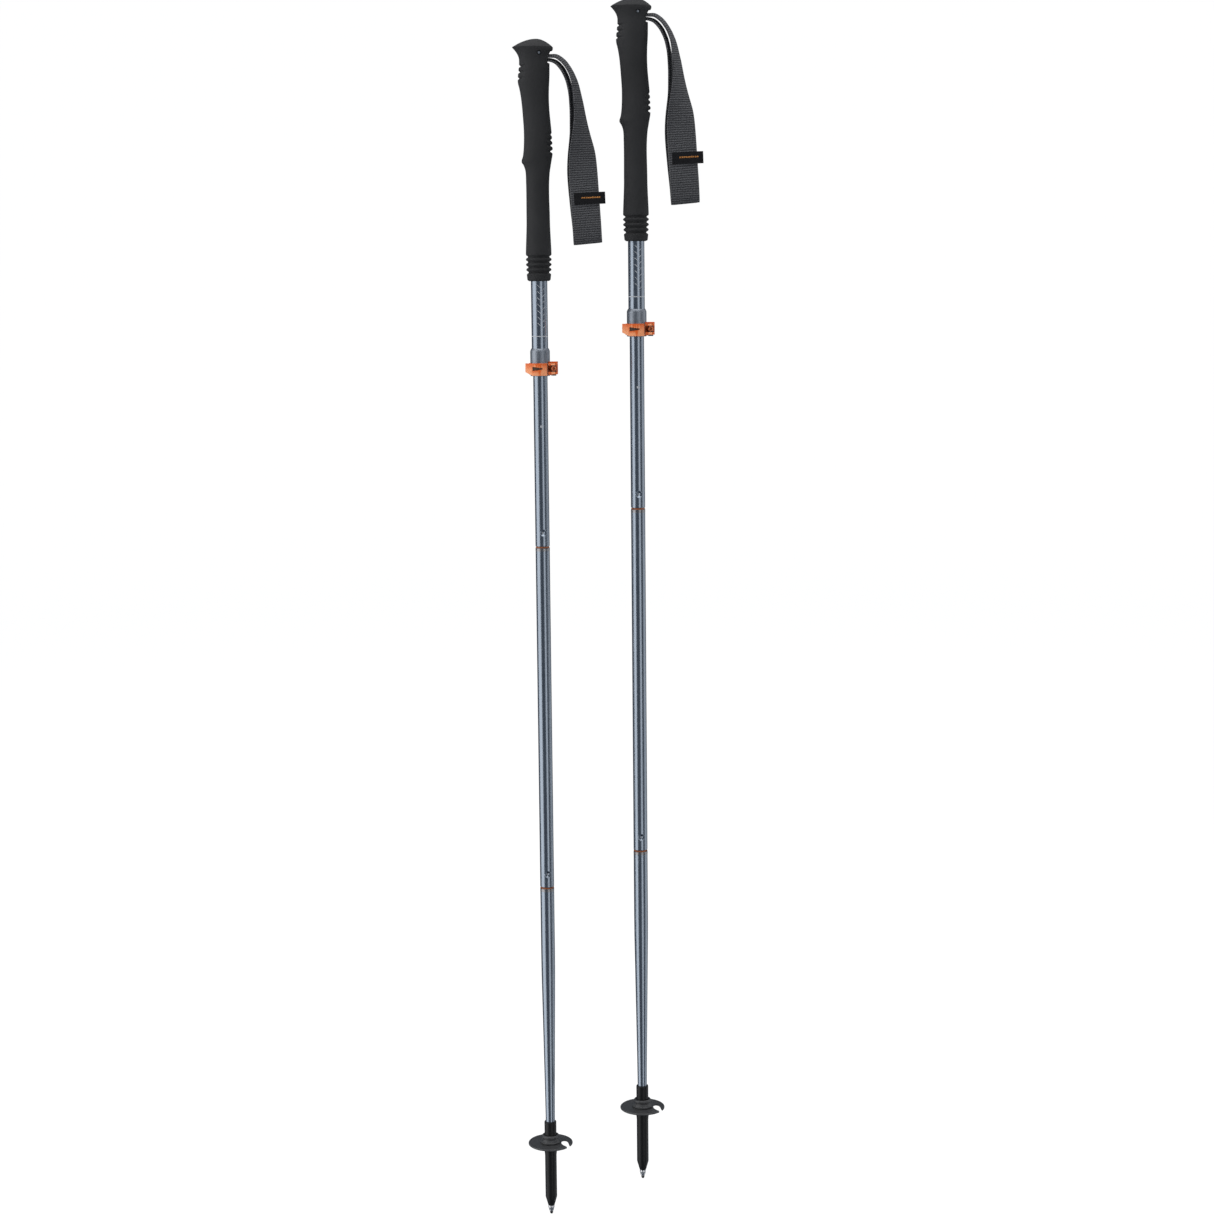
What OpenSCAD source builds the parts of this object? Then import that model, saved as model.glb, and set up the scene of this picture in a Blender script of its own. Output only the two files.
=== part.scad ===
// A pair of folding trekking poles. Each pole has a foam grip with a wrist strap, an upper
// tube with a cam lever clamp, a slide tube for the length, and two folding joints.
// Every piece is drawn in its own pole's frame: +Z up the pole, z = 0 at the tip,
// the viewer's side is -Y, and the strap hangs on the +X side. Millimetres.

/* [Pair] */
// Distance between the two poles, from axis to axis
pair_gap = 96; // [90:1:160]
// How much higher the right pole is held than the left one
pair_step = 38; // [0:1:60]

/* [Levels above the tip] */
// Lower folding joint
low_joint = 353; // [345:1:356]
// Upper folding joint
high_joint = 704; // [700:1:710]
// Bottom of the clamp collar
collar_low = 874; // [870:1:876]
// Bottom of the foam grip
grip_low = 967; // [960:1:972]
// Top of the grip, which is the pole's length
pole_len = 1200; // [1200:1:1204]

/* [Tubes] */
// Radius of the upper tube
upper_r = 8.1; // [8.1:0.05:8.2]
// Radius of the slide tube, the middle tube and the lower tube
tube_r = 7.1; // [7.05:0.05:7.1]
// Wall of the upper tube
upper_wall = 0.65; // [0.6:0.05:0.65]
// Wall of the other tubes
tube_wall = 0.75; // [0.7:0.05:0.75]
// Radius of the lower tube where it ends in the tip sleeve
tube_low_r = 4.8; // [4.6:0.1:4.8]

/* [Folding joints] */
// Distance from a pole's axis to a fold's turning line
fold_out = 12; // [11:0.5:13]
// Radius of a nose cone at its base
nose_r = 5.3; // [5.0:0.1:5.3]
// Height of a nose cone
nose_h = 11; // [9:0.5:11]

/* [Basket and tip] */
// Radius of the basket
basket_r = 23; // [20:0.5:25]
// Height of the basket's rim above the tip
basket_z = 76.5; // [75:0.5:78]
// Radius of the tip sleeve where a rubber tip pushes on
tip_seat_r = 6.05; // [5.9:0.05:6.1]

/* [Hidden] */
$fn = 96;
fit = 0.03; // radial gap between fixed pieces
run = 0.05; // radial gap between pieces that slide or turn
PIECES = [
    "grip", "grip_core", "strap_wedge", "strap_pin", "upper_tube", "clamp_collar",
    "clamp_liner", "clamp_band", "clamp_barrel", "clamp_screw", "clamp_lever",
    "wrist_strap", "strap_label", "slide_tube", "guide_bush", "cable_anchor",
    "tension_spring", "upper_socket", "upper_cable", "middle_tube", "upper_cone",
    "lower_socket", "middle_cable", "lower_tube", "lower_cone", "lower_cable",
    "tip_sleeve", "tip_ferrule", "tip_point", "basket"
];
SIDES = ["left", "right"];

// The pair's outer edges along X, measured from the left pole's axis.
beak_out = 23.4;
label_out = 65.8;
left_x = -(pair_gap + label_out - beak_out) / 2;

// Upper tube and grip
upper_bore = upper_r - upper_wall;
upper_low = collar_low + 14;
upper_top = pole_len - 29;
cell_low = upper_top + 1;
cell_high = pole_len - 10;
cell_x = 9;
cell_y = 7.6;
channel_low = pole_len - 23;
channel_high = pole_len - 12;
channel_y = 6.2;
pin_x = 3.2;
pin_z = pole_len - 14;
pin_r = 1.2;
pin_out = 11.4;

// Clamp
collar_r = 9.7;
collar_h = 27;
liner_r = 7.7;
band_r = collar_r + fit;
band_wall = 1.3;
band_low = collar_low + 1.5;
band_high = collar_low + 12.6;
pivot = [13.6, -10];
barrel_r = 2.5;
lever_low = collar_low + 0.6;
lever_high = collar_low + 12.6;
window_low = collar_low + 4.4;
window_high = collar_low + 10.8;
screw_z = (window_low + window_high) / 2;
screw_r = 1.5;
ear_front = pivot[1] + 4.4;

// Slide tube and its inner pieces
tube_bore = tube_r - tube_wall;
slide_top = high_joint + 308;
socket_h = 41;
mouth_r = nose_r + run;
mouth_h = nose_h + 1;
cable_r = 1.2;
cable_bore_r = 1.6;
spring_low = high_joint + socket_h + 0.4;
spring_h = 46;
spring_turns = 7;
spring_r = 4.2;
spring_wire_r = 0.6;
anchor_h = 9;
flange_h = 1.7;
stem_h = 22;
dimple_up = 13.8;
dimple_turn = 8;

// Lower tube and tip
taper_high = 270;
taper_low = 112;
tube_low = 38;
sleeve_top = 101;
shoulder_z = basket_z - 2;
shoulder_r = 6.6;
shoulder_h = 4.5;
seat_r = 6.2;
cone_top = 19;
seat_h = 45;
cone_low = 9.4;
ferrule_low = 3;

// Grip outline: [height below the top, beak side, strap side, half depth]
GRIP_ROWS = [
    [140, -9.2, 9.2, 9.2], [133, -11.2, 11.2, 11.2], [128.5, -11.7, 11.7, 11.8],
    [122.5, -12.4, 12.5, 12.2],
    [119, -14.2, 13.4, 12.6], [116, -15.4, 14.0, 12.8], [112, -14.2, 14.5, 12.9],
    [106, -13.4, 14.6, 12.9], [96, -13.0, 14.2, 13.0], [81, -13.3, 13.4, 13.2],
    [66, -14.3, 12.4, 13.4], [50, -15.9, 12.2, 13.6], [39, -18.0, 12.7, 13.6],
    [34, -17.5, 12.8, 13.4], [26, -16.6, 13.0, 13.2], [19, -16.7, 13.1, 13.2],
    [14, -18.5, 14.2, 13.6], [10.5, -21.1, 15.8, 14.2], [8, -23.4, 16.4, 14.5],
    [6.4, -21.1, 15.2, 13.6], [4.2, -17.0, 12.9, 11.4], [1.9, -10.9, 8.7, 7.6],
    [0.5, -5.4, 4.4, 3.9], [0, -2.6, 2.2, 2.0]
];

// The strap's two legs, each from the grip down to the fold:
// [x, height below the pole's top, y, width, twist]
OUTER_LEG = [
    [14.4, 16.4, 0, 11, 16], [19, 16.6, 0, 12, 17], [25, 20.2, 0, 13.5, 17],
    [31.5, 28.2, -0.6, 15.5, 15], [36.5, 39, -1.8, 17.6, 16], [40.3, 58, -3.6, 20.4, 22],
    [42.5, 79, -5.2, 22.6, 32], [43.2, 94, -6.2, 25, 47], [44.1, 111, -7, 27, 70],
    [44.8, 129, -7, 28, 84], [46.4, 158, -7, 28.3, 88], [48, 184, -6, 28.3, 90],
    [48.4, 193, -3.6, 28.3, 90]
];
INNER_LEG = [
    [14.4, 20.4, 0, 11, 16], [18.5, 21.8, 0, 12, 17], [24.5, 27.4, 0, 13.5, 17],
    [29.5, 36.4, 0.4, 15.5, 14], [33, 49, 1.2, 17.6, 12], [34.8, 64, 2.6, 18.6, 14],
    [36.5, 80, 4.2, 21, 22], [39.5, 94, 5.6, 24, 41], [42, 111, 7, 27, 67],
    [42.8, 129, 7, 28, 84], [45.2, 158, 7, 28.3, 88], [47.8, 184, 6, 28.3, 90],
    [48.4, 193, 3.6, 28.3, 90]
];
STRAP_FOLD = [48.6, 196.4, 0, 28.3, 90];
strap_t = 2;

function backwards(list) = [for (i = [len(list) - 1:-1:0]) list[i]];
function unit(v) = v / norm(v);

// Rings of points, counterclockwise about the way they follow one another, made one solid.
// Each quad is split in two, the other way in the second half of a ring, so that a twisted
// slab's two faces bend alike and keep their distance.
module loft(rings) {
    n = len(rings[0]);
    top = (len(rings) - 1) * n;
    sides = [
        for (i = [0:len(rings) - 2]) for (j = [0:n - 1])
            let (a = i * n + j, b = i * n + (j + 1) % n)
            each 2 * j < n ? [[a, a + n, b + n], [a, b + n, b]] : [[a, a + n, b], [b, a + n, b + n]]
    ];
    first = [for (j = [0:n - 1]) j];
    last = [for (j = [n - 1:-1:0]) top + j];
    polyhedron([for (ring = rings) each ring], concat([first], sides, [last]), convexity = 8);
}

module tube(r, bore, low, high) {
    difference() {
        translate([0, 0, low]) cylinder(r = r, h = high - low);
        translate([0, 0, low - 1]) cylinder(r = bore, h = high - low + 2);
    }
}

// ---- Grip and strap fixing

module grip_handle() {
    loft([
        for (row = GRIP_ROWS)
            [for (a = [0:15:345]) [
                (row[1] + row[2]) / 2 + (row[2] - row[1]) / 2 * cos(a),
                row[3] * sin(a),
                pole_len - row[0]
            ]]
    ]);
}

module grip_sleeve() {
    ring_at = [8.5, 14, 19, 24];
    difference() {
        union() {
            translate([0, 0, grip_low + 2]) cylinder(r = 11.6, h = 97.5);
            translate([0, 0, grip_low]) cylinder(r1 = 9.6, r2 = 11.6, h = 2);
        }
        for (z = ring_at)
            translate([0, 0, grip_low + z]) rotate_extrude()
                translate([11.9, 0]) circle(r = 2);
    }
}

module grip() {
    color("#2d2d30") difference() {
        union() {
            grip_handle();
            grip_sleeve();
        }
        translate([0, 0, grip_low - 1]) cylinder(r = upper_r + fit, h = upper_top - grip_low + 1.5);
        translate([-cell_x, -cell_y, cell_low])
            cube([2 * cell_x, 2 * cell_y, cell_high - cell_low]);
        translate([6, -channel_y - 0.4, channel_low - 0.5]) cube([14, 2 * channel_y + 0.8, 12]);
        translate([pin_x, 0, pin_z]) rotate([90, 0, 0])
            cylinder(r = pin_r + fit, h = 2 * pin_out + 1, center = true);
        for (side = [-1, 1])
            translate([pin_x, side * (pin_out + 2.6), pin_z]) rotate([90, 0, 0])
                cylinder(r = 2.2, h = 6, center = true);
    }
}

module grip_core() {
    color("#1c1c1e") difference() {
        translate([-cell_x + fit, -cell_y + fit, cell_low + fit])
            cube([2 * (cell_x - fit), 2 * (cell_y - fit), cell_high - cell_low - 2 * fit]);
        translate([2, -channel_y, channel_low]) cube([12, 2 * channel_y, channel_high - channel_low]);
        translate([pin_x, 0, pin_z]) rotate([90, 0, 0])
            cylinder(r = pin_r + fit, h = 30, center = true);
    }
}

module strap_wedge() {
    color("#3a3a3d") translate([0, channel_y - 0.3, 0]) rotate([90, 0, 0])
        linear_extrude(2 * (channel_y - 0.3)) polygon([
            [2.4, channel_low + 4.2], [8.6, channel_low + 1.8],
            [8.6, channel_low + 7], [2.4, channel_low + 6]
        ]);
}

module strap_pin() {
    color("silver") translate([pin_x, 0, pin_z]) rotate([90, 0, 0])
        cylinder(r = pin_r, h = 2 * pin_out, center = true);
}

// ---- Upper tube and clamp

module upper_tube() {
    color("#4b5563") tube(upper_r, upper_bore, upper_low, upper_top);
}

module clamp_collar() {
    color("#7d858f") difference() {
        union() {
            translate([0, 0, collar_low]) cylinder(r = collar_r, h = collar_h - 2);
            translate([0, 0, collar_low + collar_h - 2])
                cylinder(r1 = collar_r, r2 = collar_r - 1.1, h = 2);
        }
        translate([0, 0, collar_low - 1]) cylinder(r = liner_r + fit, h = collar_h + 2);
        translate([0, 0, upper_low - 0.2]) cylinder(r = upper_r + fit, h = collar_h);
        translate([0, -0.8, collar_low - 1]) cube([collar_r + 1, 1.6, 14]);
    }
}

module clamp_liner() {
    color("#d8d8d2") difference() {
        tube(liner_r, tube_r + run, collar_low + 0.4, upper_low - 0.4);
        translate([0, -0.8, collar_low - 1]) cube([collar_r, 1.6, 20]);
    }
}

module clamp_band() {
    ear_x = pivot[0] + 4;
    screw_hole = screw_r + fit;
    color("#d5672f") difference() {
        union() {
            tube(band_r + band_wall, band_r, band_low, band_high);
            difference() {
                for (y = [ear_front, -2.4])
                    translate([4, y, band_low + 0.5])
                        cube([ear_x - 4, 1.5, band_high - band_low + 1]);
                translate([0, 0, band_low - 1]) cylinder(r = band_r + 0.2, h = 20);
            }
        }
        translate([4, ear_front + 1.5, band_low - 1])
            cube([20, -2.4 - ear_front - 1.5, 20]);
        translate([pivot[0], 0, screw_z]) rotate([90, 0, 0])
            cylinder(r = screw_hole, h = 30, center = true);
    }
}

module clamp_barrel() {
    color("#8c9096") difference() {
        translate([pivot[0], pivot[1], lever_low]) cylinder(r = barrel_r, h = lever_high - lever_low);
        translate([pivot[0], pivot[1] - 1.8, screw_z]) rotate([90, 0, 0])
            cylinder(r = 2.85, h = 5);
        translate([pivot[0], 0, screw_z]) rotate([90, 0, 0])
            cylinder(r = screw_r + fit, h = 40, center = true);
    }
}

module clamp_screw() {
    head_y = pivot[1] - 1.8 - fit;
    color("silver") difference() {
        translate([pivot[0], head_y, screw_z]) rotate([-90, 0, 0]) union() {
            translate([0, 0, -2.4]) cylinder(r = 2.6, h = 2.4);
            cylinder(r = screw_r, h = 14.6);
            translate([0, 0, 11 + fit]) cylinder(r = 2.5, h = 2.6, $fn = 6);
        }
        translate([pivot[0], head_y - 1.2, screw_z]) rotate([90, 0, 0])
            cylinder(r = 1.45, h = 4, $fn = 6);
    }
}

// The lever's outline from above: a curved arm, a boss round the barrel, and a thumb end.
module lever_outline() {
    arm_centre = [2, 10];
    arm_r = 24;
    difference() {
        union() {
            intersection() {
                difference() {
                    translate(arm_centre) circle(r = arm_r);
                    translate(arm_centre) circle(r = arm_r - 2.8);
                }
                translate([-15, -20]) square([28.6, 17]);
            }
            translate([pivot[0], pivot[1] + 0.2]) circle(r = 3.9);
            translate([pivot[0] - 3, pivot[1] - 3.7]) square([3, 5]);
        }
        circle(r = band_r + band_wall + 0.35);
        translate(pivot) circle(r = barrel_r + run);
    }
}

module clamp_lever() {
    color("#e07038") difference() {
        translate([0, 0, lever_low]) linear_extrude(lever_high - lever_low) lever_outline();
        translate([pivot[0] - 5.6, pivot[1] - 10, window_low])
            cube([20, 20, window_high - window_low]);
        translate([-16, -20, lever_low - 3.2]) rotate([0, 20, 0]) cube([10, 30, 5]);
        translate([-2.6, -14.6, screw_z]) cube([10, 3, 2.8], center = true);
    }
}

// ---- Wrist strap

// The four corners of the strap's section at row i of a path. At twist 0 it lies across the
// pole, along Y. At twist 90 it faces the viewer, and at the fold its lower edge slants a bit.
function strap_ring(path, i) =
    let (
        row = path[i],
        before = path[max(i - 1, 0)],
        after = path[min(i + 1, len(path) - 1)],
        along = unit([after[0] - before[0], after[2] - before[2], before[1] - after[1]]),
        side = unit([abs(along[2]) + 0.6 * abs(along[1]), 0, abs(along[0]) + 0.055 * abs(along[1])]),
        wide = [0, -cos(row[4]), 0] - sin(row[4]) * side,
        out = unit(cross(wide, along)),
        centre = [row[0], row[2], pole_len - row[1]]
    )
    [for (k = [[-1, 1], [1, 1], [1, -1], [-1, -1]])
        centre + k[0] * row[3] / 2 * wide + k[1] * strap_t / 2 * out];

// Rows with more rows between each pair, on a smooth curve through the four nearest.
function smooth(rows, extra) = [
    for (i = [0:len(rows) - 2]) for (k = [0:extra])
        let (
            t = k / (extra + 1), b = rows[i], c = rows[i + 1],
            a = rows[max(i - 1, 0)], d = rows[min(i + 2, len(rows) - 1)]
        )
        b + (c - a) * t / 2 + (2 * a - 5 * b + 4 * c - d) * t * t / 2
            + (3 * b - a - 3 * c + d) * t * t * t / 2,
    rows[len(rows) - 1]
];

module wrist_strap() {
    path = smooth(concat(OUTER_LEG, [STRAP_FOLD], backwards(INNER_LEG)), 3);
    color("#303033") loft([for (i = [0:len(path) - 1]) strap_ring(path, i)]);
}

module strap_label() {
    label_z = pole_len - 159;
    color("#18181a") difference() {
        translate([37.6, -10, label_z]) cube([label_out - 37.6, 6, 11.5]);
        translate([30, -9.3, label_z - 1]) cube([31.6, 4.6, 14]);
    }
}

// ---- Slide tube

// A crimp dimple's two spheres: the hollow seen from outside, and its bulge inside.
module dimple(z, r) {
    rotate([0, 0, dimple_turn]) translate([0, -10, z + dimple_up]) sphere(r = r);
}

module dimpled_tube(low, high) {
    difference() {
        union() {
            tube(tube_r, tube_bore, low, high);
            intersection() {
                dimple(low, 4.95);
                translate([0, 0, low]) cylinder(r = tube_bore + 0.2, h = 40);
            }
        }
        dimple(low, 4.2);
    }
}

module slide_tube() {
    color("#4b5563") dimpled_tube(high_joint, slide_top);
}

module guide_bush() {
    color("#d8d8d2") difference() {
        union() {
            translate([0, 0, slide_top - 22]) cylinder(r = tube_bore - fit, h = 22);
            translate([0, 0, slide_top + 0.1]) cylinder(r = upper_bore - run, h = 6);
            translate([0, 0, slide_top - 0.1]) cylinder(r = tube_bore - fit, h = 1);
        }
        translate([0, 0, slide_top - 23]) cylinder(r = 4.5, h = 40);
    }
}

// The bush in a tube's end that takes the nose cone of the next tube.
module socket(z) {
    color("#9aa0a8") difference() {
        translate([0, 0, z + 0.2]) cylinder(r = tube_bore - fit, h = socket_h - 0.2);
        translate([0, 0, z - 1]) cylinder(r = mouth_r, h = mouth_h + 1);
        translate([0, 0, z]) cylinder(r = cable_bore_r, h = socket_h + 1);
        dimple(z, 5.05);
    }
}

module upper_socket() {
    socket(high_joint);
}

module tension_spring() {
    per_turn = 12;
    turn = 360 / per_turn;
    rise = (spring_h - 2 * spring_wire_r) / (spring_turns * per_turn);
    color("silver") loft([
        for (i = [0:spring_turns * per_turn])
            [for (a = [0:60:300]) [
                (spring_r + spring_wire_r * cos(a)) * cos(i * turn),
                (spring_r + spring_wire_r * cos(a)) * sin(i * turn),
                spring_low + spring_wire_r + i * rise - spring_wire_r * sin(a)
            ]]
    ]);
}

module cable_anchor() {
    low = spring_low + spring_h + 0.3;
    color("#b08d4a") tube(tube_bore - 0.3, cable_r + fit, low, low + anchor_h);
}

module upper_cable() {
    low = high_joint + nose_h + 1;
    high = spring_low + spring_h + 0.3 + anchor_h;
    color("#15151a") union() {
        translate([0, 0, low]) cylinder(r = cable_r, h = high + 1 - low);
        translate([0, 0, high + 0.3]) cylinder(r = 2.6, h = 4);
    }
}

// ---- Middle and lower tubes

module middle_tube() {
    color("#4b5563") dimpled_tube(low_joint, high_joint - flange_h);
}

// A nose cone: its flank is an arc about the fold's turning line, so that it swings clear.
module nose_cone(z) {
    color("#e07038") difference() {
        union() {
            translate([0, 0, z]) rotate_extrude() intersection() {
                translate([-fold_out, 0]) circle(r = fold_out + nose_r);
                square([nose_r, nose_h]);
            }
            translate([0, 0, z - flange_h]) cylinder(r = tube_r, h = flange_h - 0.05);
            translate([0, 0, z - flange_h - stem_h]) cylinder(r = tube_bore - fit, h = stem_h + 1);
            translate([0, 0, z - 1]) cylinder(r = nose_r, h = 1.1);
        }
        translate([0, 0, z - stem_h - 5]) cylinder(r = cable_r + fit, h = 60);
    }
}

module upper_cone() {
    nose_cone(high_joint);
}

module lower_socket() {
    socket(low_joint);
}

module middle_cable() {
    low = low_joint + nose_h + 1;
    color("#15151a") translate([0, 0, low])
        cylinder(r = cable_r, h = high_joint + nose_h - 0.3 - low);
}

module lower_tube() {
    tube_top = low_joint - flange_h;
    bore_low = tube_low_r - tube_wall;
    color("#4b5563") difference() {
        union() {
            translate([0, 0, taper_high]) cylinder(r = tube_r, h = tube_top - taper_high);
            translate([0, 0, taper_low])
                cylinder(r1 = tube_low_r, r2 = tube_r, h = taper_high - taper_low);
            translate([0, 0, tube_low]) cylinder(r = tube_low_r, h = taper_low - tube_low);
        }
        translate([0, 0, taper_high]) cylinder(r = tube_bore, h = 100);
        translate([0, 0, taper_low])
            cylinder(r1 = bore_low, r2 = tube_bore, h = taper_high - taper_low);
        translate([0, 0, tube_low - 1]) cylinder(r = bore_low, h = taper_low - tube_low + 1);
    }
}

module lower_cone() {
    nose_cone(low_joint);
}

module lower_cable() {
    knot_z = low_joint - flange_h - stem_h - 6;
    color("#15151a") union() {
        translate([0, 0, knot_z]) cylinder(r = cable_r, h = low_joint + nose_h - 0.3 - knot_z);
        translate([0, 0, knot_z]) cylinder(r = 2.8, h = 5);
    }
}

// ---- Tip and basket

module tip_sleeve() {
    color("#19191b") difference() {
        union() {
            translate([0, 0, cone_low]) cylinder(r1 = 3.4, r2 = tip_seat_r, h = cone_top - cone_low);
            translate([0, 0, cone_top]) cylinder(r = tip_seat_r, h = seat_h);
            translate([0, 0, cone_top + seat_h]) cylinder(
                r1 = tip_seat_r, r2 = shoulder_r, h = shoulder_z - shoulder_h - cone_top - seat_h
            );
            translate([0, 0, shoulder_z - shoulder_h]) cylinder(r = shoulder_r, h = shoulder_h);
            translate([0, 0, shoulder_z]) cylinder(r = seat_r, h = sleeve_top - shoulder_z);
        }
        translate([0, 0, tube_low - 0.3]) cylinder(r = tube_low_r + fit, h = 100);
        translate([0, 0, cone_low - 1]) cylinder(r = 2.6 + fit, h = tube_low);
    }
}

module tip_ferrule() {
    color("#b9bcc0") difference() {
        union() {
            translate([0, 0, ferrule_low]) cylinder(r1 = 2.2, r2 = 3.2, h = 4);
            translate([0, 0, ferrule_low + 4]) cylinder(r = 3.2, h = cone_low - ferrule_low - 4.05);
            translate([0, 0, ferrule_low + 4]) cylinder(r = 2.6, h = 26);
        }
        translate([0, 0, 0]) cylinder(r = 1.2 + fit, h = 12);
    }
}

module tip_point() {
    color("#4a4a4e") union() {
        cylinder(r1 = 1.1, r2 = 1.7, h = 1.6);
        translate([0, 0, 1.6]) cylinder(r = 1.7, h = ferrule_low - 1.65);
        translate([0, 0, 1]) cylinder(r = 1.2, h = 10.5);
    }
}

// The notch in the basket's rim, from above: a round eye with a neck that runs out to the
// front right, so that a hook is left outside it.
module hook_notch() {
    polygon([
        [18, -20], [17, -14.5], [15.9, -11.6], [13.8, -9.2], [12.1, -6.2], [11.3, -2.6],
        [11.1, 1.2], [11.9, 4.3], [13.9, 5.6], [16.3, 4.8], [18, 1.5], [18.9, -3],
        [19.6, -7], [20.6, -10.6], [26, -18]
    ]);
}

module basket() {
    rim_h = 1.6;
    boss_h = 3.4;
    hub_h = 7.6;
    color("#3c3c3f") difference() {
        union() {
            translate([0, 0, basket_z]) cylinder(r = basket_r, h = rim_h);
            translate([0, 0, basket_z + 0.2]) cylinder(r = 10.6, h = boss_h - 0.2);
            translate([0, 0, basket_z + boss_h - 0.1]) cylinder(r1 = 9.7, r2 = 8.6, h = hub_h - boss_h);
            translate([0, 0, basket_z + hub_h - 0.2]) cylinder(r = 8.7, h = 2.8);
            translate([0, 0, shoulder_z + 0.3]) cylinder(r = 7.05, h = 2);
        }
        translate([0, 0, shoulder_z - 1]) cylinder(r = seat_r + run, h = 20);
        translate([0, 0, basket_z - 1]) linear_extrude(rim_h + 2) hook_notch();
    }
}

module piece(name) {
    if (name == "grip") grip();
    if (name == "grip_core") grip_core();
    if (name == "strap_wedge") strap_wedge();
    if (name == "strap_pin") strap_pin();
    if (name == "upper_tube") upper_tube();
    if (name == "clamp_collar") clamp_collar();
    if (name == "clamp_liner") clamp_liner();
    if (name == "clamp_band") clamp_band();
    if (name == "clamp_barrel") clamp_barrel();
    if (name == "clamp_screw") clamp_screw();
    if (name == "clamp_lever") clamp_lever();
    if (name == "wrist_strap") wrist_strap();
    if (name == "strap_label") strap_label();
    if (name == "slide_tube") slide_tube();
    if (name == "guide_bush") guide_bush();
    if (name == "cable_anchor") cable_anchor();
    if (name == "tension_spring") tension_spring();
    if (name == "upper_socket") upper_socket();
    if (name == "upper_cable") upper_cable();
    if (name == "middle_tube") middle_tube();
    if (name == "upper_cone") upper_cone();
    if (name == "lower_socket") lower_socket();
    if (name == "middle_cable") middle_cable();
    if (name == "lower_tube") lower_tube();
    if (name == "lower_cone") lower_cone();
    if (name == "lower_cable") lower_cable();
    if (name == "tip_sleeve") tip_sleeve();
    if (name == "tip_ferrule") tip_ferrule();
    if (name == "tip_point") tip_point();
    if (name == "basket") basket();
}

for (side = [0, 1]) translate([left_x + side * pair_gap, 0, side * pair_step])
    for (name = PIECES)
        piece(name);
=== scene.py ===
# %% [markdown]
# # A pair of folding trekking poles
#
# The CAD model already holds every size and every joint. This file dresses it: it gives each
# piece the surface that the real one has, such as foam, ribbed webbing, anodised tube, orange
# paint and moulded plastic. Cells build on each other from top to bottom.

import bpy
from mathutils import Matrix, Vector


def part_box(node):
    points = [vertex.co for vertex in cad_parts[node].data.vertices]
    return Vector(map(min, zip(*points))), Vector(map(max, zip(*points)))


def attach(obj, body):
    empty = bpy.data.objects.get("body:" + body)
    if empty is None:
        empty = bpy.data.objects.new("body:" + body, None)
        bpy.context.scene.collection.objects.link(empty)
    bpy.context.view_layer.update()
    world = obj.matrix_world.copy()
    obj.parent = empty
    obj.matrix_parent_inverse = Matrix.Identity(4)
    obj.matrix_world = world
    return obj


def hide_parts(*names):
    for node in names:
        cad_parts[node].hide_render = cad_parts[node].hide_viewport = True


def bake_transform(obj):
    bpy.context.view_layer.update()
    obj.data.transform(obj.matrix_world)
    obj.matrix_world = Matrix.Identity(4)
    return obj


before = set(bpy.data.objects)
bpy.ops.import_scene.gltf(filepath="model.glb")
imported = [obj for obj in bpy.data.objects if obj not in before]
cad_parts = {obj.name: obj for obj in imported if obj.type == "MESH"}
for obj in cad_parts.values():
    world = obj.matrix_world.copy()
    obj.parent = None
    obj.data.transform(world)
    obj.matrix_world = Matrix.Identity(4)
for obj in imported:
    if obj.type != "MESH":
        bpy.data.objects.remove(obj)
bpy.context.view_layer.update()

import math

import bpy
import numpy as np

# %% [markdown]
# ## Where everything is
#
# Both poles are the same object drawn twice. So each shape below is written once, in
# millimetres above the tip of its own pole and outward from that pole's axis, and a Pole
# places it. The levels come from the CAD pieces' own boxes.

# %% Poles and levels
MM = 0.001
SIDES = ("left", "right")


def middle_of(node):
    low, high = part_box(node)
    return (low + high) / 2


class Pole:
    """One pole: its axis, its tip, and a way to place points given in millimetres."""

    def __init__(self, side):
        self.side = side
        self.origin = np.array([middle_of(f"{side}_upper_tube").x, 0.0,
                                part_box(f"{side}_tip_point")[0].z])

    def place(self, points):
        return np.asarray(points, float) * MM + self.origin

    def name(self, piece):
        return f"{self.side}_{piece}"


POLES = [Pole(side) for side in SIDES]
LEFT = POLES[0]


def level(node, end):
    """The height in millimetres above the tip of a node's low (0) or high (1) end."""
    return (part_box(f"left_{node}")[end].z - LEFT.origin[2]) / MM


GRIP_LOW, GRIP_TOP = level("grip", 0), level("grip", 1)
HIGH_JOINT = level("slide_tube", 0)
LOW_JOINT = level("middle_tube", 0)
COLLAR_LOW, COLLAR_TOP = level("clamp_collar", 0), level("clamp_collar", 1)
print("joints at", round(LOW_JOINT), round(HIGH_JOINT), "grip", round(GRIP_LOW), round(GRIP_TOP))

# %% [markdown]
# ## Camera
#
# The camera stands level with the grips' lower ends, 2.3 m in front, and looks down at the
# middle of the poles with a long lens. It is turned a little about its own line of sight,
# which is why the poles lean.

# %% Camera
CAMERA_HEIGHT = 0.978
CAMERA_AWAY = 2.273
CAMERA_SIDE = -0.0021
LOOK_DOWN = math.radians(8.42)
CAMERA_ROLL = math.radians(0.53)

camera_data = bpy.data.cameras.new("camera")
camera_data.sensor_width = 36
camera_data.lens = 67.67
camera = bpy.data.objects.new("camera", camera_data)
bpy.context.scene.collection.objects.link(camera)
camera.location = (CAMERA_SIDE, -CAMERA_AWAY, CAMERA_HEIGHT)
camera.rotation_mode = "XYZ"
camera.rotation_euler = (math.pi / 2 - LOOK_DOWN, CAMERA_ROLL, 0)
bpy.context.scene.camera = camera
print("camera lens", camera_data.lens)

# %% [markdown]
# ## Surfaces as arrays
#
# Nearly every piece here is a stack of rings: a section that changes as it moves along a
# path. One function turns such a stack into a mesh. The rings' points go counterclockwise
# about the way the stack grows, so that faces point outwards.


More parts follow.
